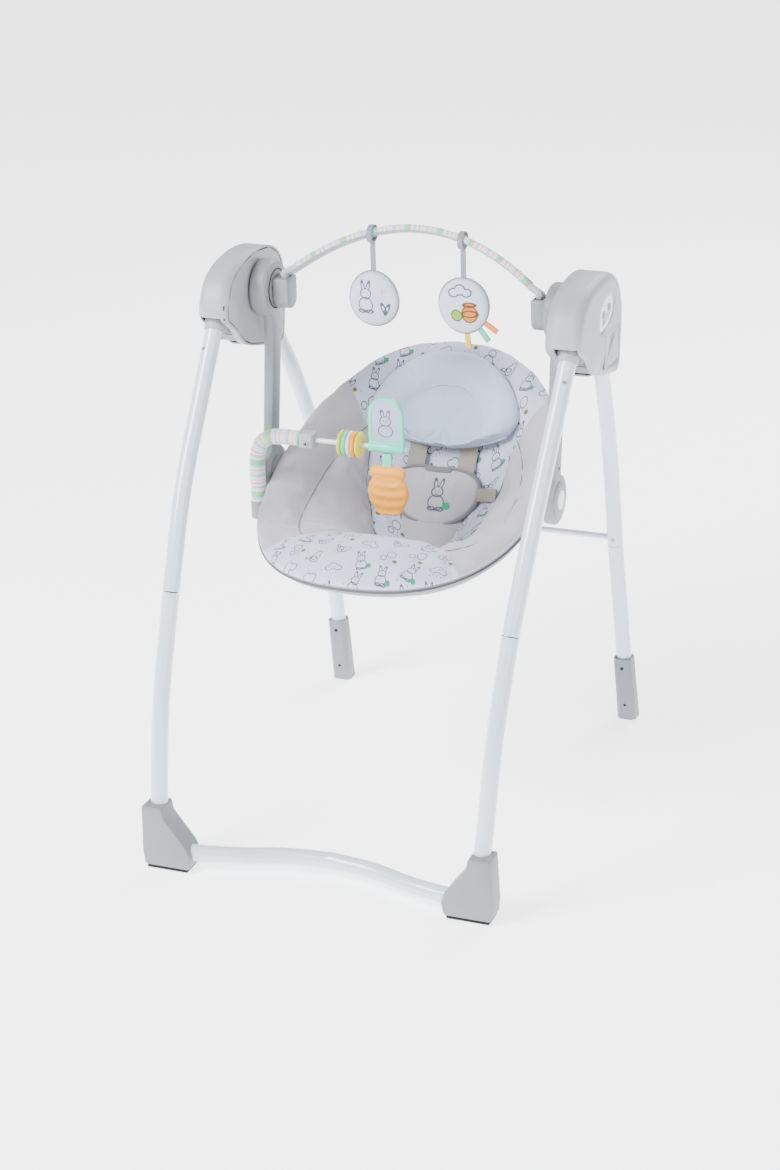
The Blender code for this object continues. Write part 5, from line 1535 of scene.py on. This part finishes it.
@dataclass
class Harness:
    """The head pillow, the padded tray with its bindings and the straps that hold it."""

    back: Back = field(default_factory=Back)

    def build(self) -> None:
        """Makes the pillow, the pad, the tongue and the straps."""
        self.pillow()
        self.pad()
        self.tongue()
        for side in (-1, 1):
            self.straps(side)

    def pillow(self) -> None:
        """Makes the crescent head pillow round its flat blue panel, with the corded lower edge."""
        outline = round_outline(PILLOW_EDGE)

        def place(w: float, h: float, d: float) -> Vector:
            """Places a point of the pillow on the back."""
            return self.back.at(w, h, 0.0125 + 0.85 * w * w + d)

        def panel(a: float) -> float:
            """Gives how far in the panel seam runs."""
            down = max(0.0, -math.sin(2 * math.pi * a))
            return 0.54 + 0.36 * down ** 2

        cushion = Cushion("head_cushion", outline, place, (0.0, 0.172), 0.0200, 0.0080, panel=panel, columns=128)
        obj = cushion.build(pinch=0.0012)
        shares = [(a, panel(a)) for a in np.linspace(0, 1, 121)]
        seam = [place(*cushion.spread(a, t), cushion.height(a, t) + 0.0016) for a, t in shares]
        settle(swept("panel_stitch", seam, (0.0006, 0.0006), self.back.out, 8, closed=True), "seat", PIPING)
        settle(obj, "seat", PILLOW, UNDER_CLOTH, PILLOW_PANEL, slot="pillow_fabric", replaces=["head_pillow"])
        turns = np.linspace(math.radians(-152), math.radians(-28), 60)
        cord = [place(*(c * 1.0 for c in outline(t)), 0.0015) for t in turns]
        settle(swept("pillow_piping", cord, (0.0021, 0.0021), self.back.out, 12), "seat", PILLOW_PANEL)

    def pad(self) -> None:
        """Makes the padded tray, its binding and the tab at its top."""
        outline = round_outline(HARNESS_EDGE)

        def place(w: float, h: float, d: float) -> Vector:
            """Places a point of the pad on the back."""
            return self.back.at(w, h, 0.0120 + 0.35 * w * w + d)

        obj = Cushion("harness_cushion", outline, place, (0.0, 0.060), 0.0085, 0.0055,
                      columns=96).build(pinch=0.0006)
        for loop in obj.data.uv_layers[UV_NAME].data:
            loop.uv = (loop.uv[0] * 0.62 - 0.004, (loop.uv[1] - 0.061) * 0.62)
        settle(obj, "seat", PAD_PRINT, PAD_PLAIN, slot="pad_fabric", replaces=["harness_pad"])
        edge = [place(*outline(2 * math.pi * i / 96), 0.0004) for i in range(97)]
        settle(swept("pad_binding", edge, (0.0036, 0.0030), self.back.out, 14, closed=True), "seat", BINDING)
        tab = [place(w, 0.1035, 0.0036) for w in np.linspace(-0.022, 0.022, 9)]
        settle(strap_of("top_tab", tab, 0.0075, 0.0022, self.back.up), "seat", BINDING)

    def tongue(self) -> None:
        """Makes the cloth tongue from the seat to the tray, bound along both sides."""
        rows = ((-0.030, 0.034, 0.0185), (-0.012, 0.045, 0.0200), (0.0105, 0.055, 0.0165), (0.026, 0.058, 0.0100))

        def shape(a: float, b: float) -> Vector:
            """Places one point between two rows of the piece."""
            h = rows[0][0] + (rows[-1][0] - rows[0][0]) * b
            w = eased(h, rows) * (2 * a - 1)
            return self.back.at(w, h, eased(h, rows, 2) + 0.0035 * (1 - (2 * a - 1) ** 2) - 0.004)

        obj = grid_surface("crotch_tongue", 28, 18, shape, lambda a, b: (a * 0.1, b * 0.06))
        thick = obj.modifiers.new("cloth", "SOLIDIFY")
        thick.thickness, thick.offset = 0.0040, 0.0
        bake_modifiers(obj)
        settle(obj, "seat", PAD_PLAIN, slot="pad_fabric", replaces=["crotch_strap"])
        for side in (-1, 1):
            line = [self.back.at(side * eased(h, rows), h, eased(h, rows, 2) - 0.0030)
                    for h in np.linspace(-0.030, 0.026, 15)]
            tape = swept(side_name("tongue_binding", side), line, (0.0044, 0.0028), (1, 0, 0), 14, 0.7)
            settle(tape, "seat", BINDING)

    def straps(self, side: int) -> None:
        """Makes a shoulder strap and a waist strap."""
        line = [self.back.at(0.0440 * side, h, lift) for h, lift in (
            (0.094, 0.0120), (0.102, 0.0105), (0.110, 0.0065), (0.120, 0.0040), (0.132, 0.0034), (0.144, 0.0050),
            (0.152, 0.0090))]
        obj = strap_of(side_name("shoulder_webbing", side), curve_through(line, 5), 0.0310, 0.0024, (1, 0, 0))
        settle(obj, "seat", STRAP, slot="webbing", replaces=[side_name("shoulder_strap", side)])
        low, up = self.back, self.back.up
        points = [low.at(x * side, 0.069, d) for x, d in ((0.070, 0.0150), (0.080, 0.0185), (0.092, 0.0230),
                                                          (0.102, 0.0290), (0.112, 0.0350))]
        waist = strap_of(side_name("waist_webbing", side), curve_through(points, 5), 0.0220, 0.0022, up)
        settle(waist, "seat", STRAP, slot="webbing", replaces=[side_name("waist_strap", side)])


# --- toy arm ---
@dataclass
class ToyArm:
    """The bent arm in its striped sleeve, the clip, the rod with its rings, the picture and the jar."""

    x: float = -0.2430
    y: float = 0.004
    rod_z: float = 0.5920
    frame_x: Point2 = (-0.0460, 0.0140)
    path: tuple = ((-0.243, 0.004, 0.4583), (-0.243, 0.004, 0.5000), (-0.243, 0.004, 0.5420), (-0.2380, 0.004, 0.5690),
                   (-0.2220, 0.004, 0.5870), (-0.1960, 0.004, 0.5920), (-0.1640, 0.004, 0.5920))

    def build(self) -> None:
        """Makes the sleeve, clip, rings, picture and jar."""
        line = curve_through(self.path, 14)
        marks = lengths(line)
        sleeve = swept("striped_sleeve", line, (0.0124, 0.0124), (0, 1, 0), 36)
        hem = marks[-1]
        for vert in sleeve.data.vertices:
            near = min(range(len(line)), key=lambda i: (line[i] - vert.co).length_squared)
            away = vert.co - line[near]
            if away.length > 0.005:
                ends = min(marks[near], hem - marks[near])
                tuck = -0.0006 * math.exp(-ends / 0.003)
                folds = noise.noise(Vector((marks[near] * 170, away.x * 60, away.z * 60))) * 0.0009
                vert.co += away.normalized() * (folds * min(1.0, ends / 0.01) + tuck)
        settle(sleeve, "toy_arm", STRIPES, slot="stripe_fabric", replaces=["toy_arm_tube"])
        for node, width, body, finish, slot in (("toy_arm_elbow", 0.0014, "toy_arm", GREY_ABS, "grey_housing"),
                                                ("toy_arm_socket", 0.0010, "seat", GREY_NYLON, "grey_arm")):
            settle(refined(node, width), body, finish, slot=slot, replaces=[node])
        eye = spun("clip_eyelet", [(0.0022, 0.0), (0.0040, 0.0004), (0.0044, 0.0014), (0.0036, 0.0022),
                                   (0.0024, 0.0016)], (-0.1500, self.y - 0.0130, self.rod_z - 0.0035), (0, -1, 0), 40)
        settle(eye, "toy_arm", GREY_ABS)
        core = spun("clip_screw", [(0, 0.0006), (0.0021, 0.0004), (0.0022, 0.0)],
                    (-0.1500, self.y - 0.0130, self.rod_z - 0.0035), (0, -1, 0), 32)
        settle(core, "toy_arm", DARK_AND_SHADE)
        self.rings()
        self.picture()
        self.jar()

    def rings(self) -> None:
        """Makes the five rounded discs that spin on the rod."""
        for i, (finish, slot) in enumerate(((YELLOW, "yellow"), (MINT, "mint"), (WHITE_ABS, "white_plastic"),
                                            (ORANGE, "orange"), (YELLOW, "yellow"))):
            at = (-0.0920 + 0.0076 * i, self.y, self.rod_z)
            profile = [(0.0047, -0.0012), (0.0075, -0.0033), (0.0165, -0.0033), (0.0196, -0.0024), (0.0211, -0.0011),
                       (0.0215, 0.0), (0.0211, 0.0011), (0.0196, 0.0024), (0.0165, 0.0033), (0.0075, 0.0033),
                       (0.0047, 0.0012)]
            ring = spun(f"spinner_{i + 1}", profile, at, (1, 0, 0), 56)
            settle(ring, f"ring_{i + 1}", finish, slot=slot, replaces=[f"spin_ring_{i + 1}"])

    def picture(self) -> None:
        """Rounds the arched frame and lays a printed card in each recess."""
        settle(refined("picture_frame", 0.0009), "picture", MINT, slot="mint", replaces=["picture_frame"])
        x0, x1 = self.frame_x
        mid, half = (x0 + x1) / 2, (x1 - x0) / 2 - 0.001
        arch = [(mid - half, 0.0), (mid + half, 0.0), (mid + half, 0.0560)]
        arch += [(mid + half * math.cos(t), 0.0560 + half * math.sin(t) * 0.95) for t in np.linspace(0, math.pi,
                                                                                                     25)[1:]]
        for way in (-1, 1):
            outline = [(mid + (x - mid) * 0.79, 0.0126 + z * 0.79) for x, z in arch]
            ring = [Vector((x, self.y + 0.0029 * way, self.rod_z + z)) for x, z in outline]
            work = plate(ring, (0, 0.0003 * way, 0))
            layer = work.loops.layers.uv.new(UV_NAME)
            for face in work.faces:
                for loop in face.loops:
                    spot = loop.vert.co
                    loop[layer].uv = ((spot.x - mid) * 0.92 * -way, (spot.z - self.rod_z - 0.0415) * 0.92)
            card = new_object("picture_card_front" if way < 0 else "picture_card_back", work, 30.0)
            settle(card, "picture", PICTURE)

    def jar(self) -> None:
        """Makes the soft jar teether: a lipped neck, a folded spill and a ribbed body, without lettering."""
        mid = sum(self.frame_x) / 2
        top = self.rod_z - 0.0310
        rows = ((0.0, 0.0170), (0.003, 0.0262), (0.006, 0.0292), (0.014, 0.0300), (0.021, 0.0262), (0.029, 0.0312),
                (0.042, 0.0340), (0.055, 0.0322), (0.066, 0.0272), (0.076, 0.0230), (0.0812, 0.0150))

        def shape(a: float, b: float) -> Vector:
            """Places one point of the jar."""
            turn = 2 * math.pi * b
            drop = 0.0812 * a
            wide = eased(drop, rows)
            c, s = math.cos(turn), math.sin(turn)
            x = wide * math.copysign(abs(c) ** 0.75, c)
            thick = 0.0072 + 0.0022 * math.exp(-((drop - 0.0095) / 0.0050) ** 2)
            thick += 0.0016 * math.exp(-((drop - 0.043) / 0.018) ** 2)
            thick += 0.0009 * math.sin((drop + 0.10 * abs(x) - 0.027) * 2 * math.pi / 0.0170) * (drop > 0.024)
            spill = 0.0012 * math.exp(-(((drop - 0.024 - 0.008 * math.sin(x * 140)) / 0.003) ** 2))
            ends = min(1.0, (drop + 0.0006) / 0.004, (0.0824 - drop) / 0.004) ** 0.5
            return Vector((mid + x, self.y + math.copysign(abs(s) ** 0.7, s) * (thick + spill) * ends, top - drop))

        body = grid_surface("jar_teether", 90, 72, shape, fill=True)
        settle(body, "teether", TEETHER, slot="orange", replaces=["teether"])
        link = [Vector((mid, self.y, z)) for z in (self.rod_z - 0.0340, self.rod_z - 0.0240, self.rod_z - 0.0150,
                                                   self.rod_z - 0.0098)]
        settle(strap_of("mint_link", link, 0.0155, 0.0056, (1, 0, 0)), "teether", MINT, slot="mint")


# --- hard parts kept from the frame ---
KEPT = (("housing_cover", GREY_ABS, True), ("pivot_axle", STEEL, True), ("front_leg_socket", GREY_NYLON, True),
        ("seat_bracket", GREY_NYLON, True), ("toy_rod", WHITE_ABS, False),
        ("battery_pack", CELL, False), ("drive_motor", STEEL, False), ("circuit_board", BOARD, False))


def dress_kept() -> None:
    """Gives every CAD node that stays in view its finish."""
    for base, finish, paired in KEPT:
        for name in ([side_name(base, -1), side_name(base, 1)] if paired else [base]):
            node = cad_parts[name]
            node.data.materials.clear()
            node.data.materials.append(finish.material())
            for face in node.data.polygons:
                face.material_index = 0
            LOG.info("%s stays as it is", name)


# --- studio ---
@dataclass
class Studio:
    """A pale sweep under large soft lights, seen from the front and a little above."""

    azimuth: float = math.radians(22.75)
    elevation: float = math.radians(22.8)
    distance: float = 4.205
    target: tuple = (0.0, -0.041, 0.378)
    roll: float = math.radians(-2.0)
    lens: float = 81.54

    def build(self) -> None:
        """Makes the floor, the lights, the surroundings and the camera."""
        work = bmesh.new()
        bmesh.ops.create_circle(work, cap_ends=True, segments=96, radius=16.0)
        floor = new_object("floor", work)
        paper = Finish("studio_paper", "#F4F5F7", 0.9, mottle=0.0).material()
        shader = paper.node_tree.nodes["Principled BSDF"]
        shader.inputs["Emission Color"].default_value = linear("#FFFFFF")
        shader.inputs["Emission Strength"].default_value = 2.4
        floor.data.materials.append(paper)
        floor.location.z = -0.0004
        lamps = [self.lamp("key", (-1.9, -2.3, 3.1), 1.6, 330.0), self.lamp("fill", (2.6, -2.0, 2.0), 2.4, 60.0),
                 self.lamp("rim", (0.6, 2.7, 2.6), 2.0, 120.0)]
        world = bpy.data.worlds.new("studio")
        world.use_nodes = True
        sky = world.node_tree.nodes["Background"]
        sky.inputs["Color"].default_value = linear("#F7F8FA")
        sky.inputs["Strength"].default_value = 0.85
        bpy.context.scene.world = world
        self.camera()

    def lamp(self, name: str, at: Sequence[float], size: float, power: float) -> bpy.types.Object:
        """Makes a square soft light aimed at the seat."""
        data = bpy.data.lights.new(name, "AREA")
        data.shape, data.size, data.energy = "SQUARE", size, power
        lamp = bpy.data.objects.new(name, data)
        lamp.location = at
        lamp.rotation_euler = (Vector((0, 0, 0.45)) - Vector(at)).to_track_quat("-Z", "Y").to_euler()
        bpy.context.scene.collection.objects.link(lamp)
        return lamp

    def camera(self) -> None:
        """Places the camera."""
        back = Vector((math.sin(self.azimuth) * math.cos(self.elevation),
                       -math.cos(self.azimuth) * math.cos(self.elevation), math.sin(self.elevation)))
        right = (-back).cross(Vector((0, 0, 1))).normalized()
        up = right.cross(-back).normalized()
        c, s = math.cos(self.roll), math.sin(self.roll)
        right, up = right * c + up * s, up * c - right * s
        data = bpy.data.cameras.new("camera")
        data.lens, data.sensor_width, data.clip_end = self.lens, 36.0, 60.0
        eye = bpy.data.objects.new("camera", data)
        eye.matrix_world = (Matrix.Translation(Vector(self.target) + back * self.distance)
                            @ Matrix((right, up, back)).transposed().to_4x4())
        bpy.context.scene.collection.objects.link(eye)
        bpy.context.scene.camera = eye


def main() -> None:
    """Builds every part in order."""
    logging.basicConfig(level=logging.INFO, format="%(name)s: %(message)s")
    tubing = Tubing()
    tubing.build()
    for side in (-1, 1):
        Housing(side).build(tubing)
        SwingArm(side).build()
    ToyBar().build()
    Seat().build()
    Harness().build()
    ToyArm().build()
    dress_kept()
    Studio().build()


if __name__ == "__main__":
    main()
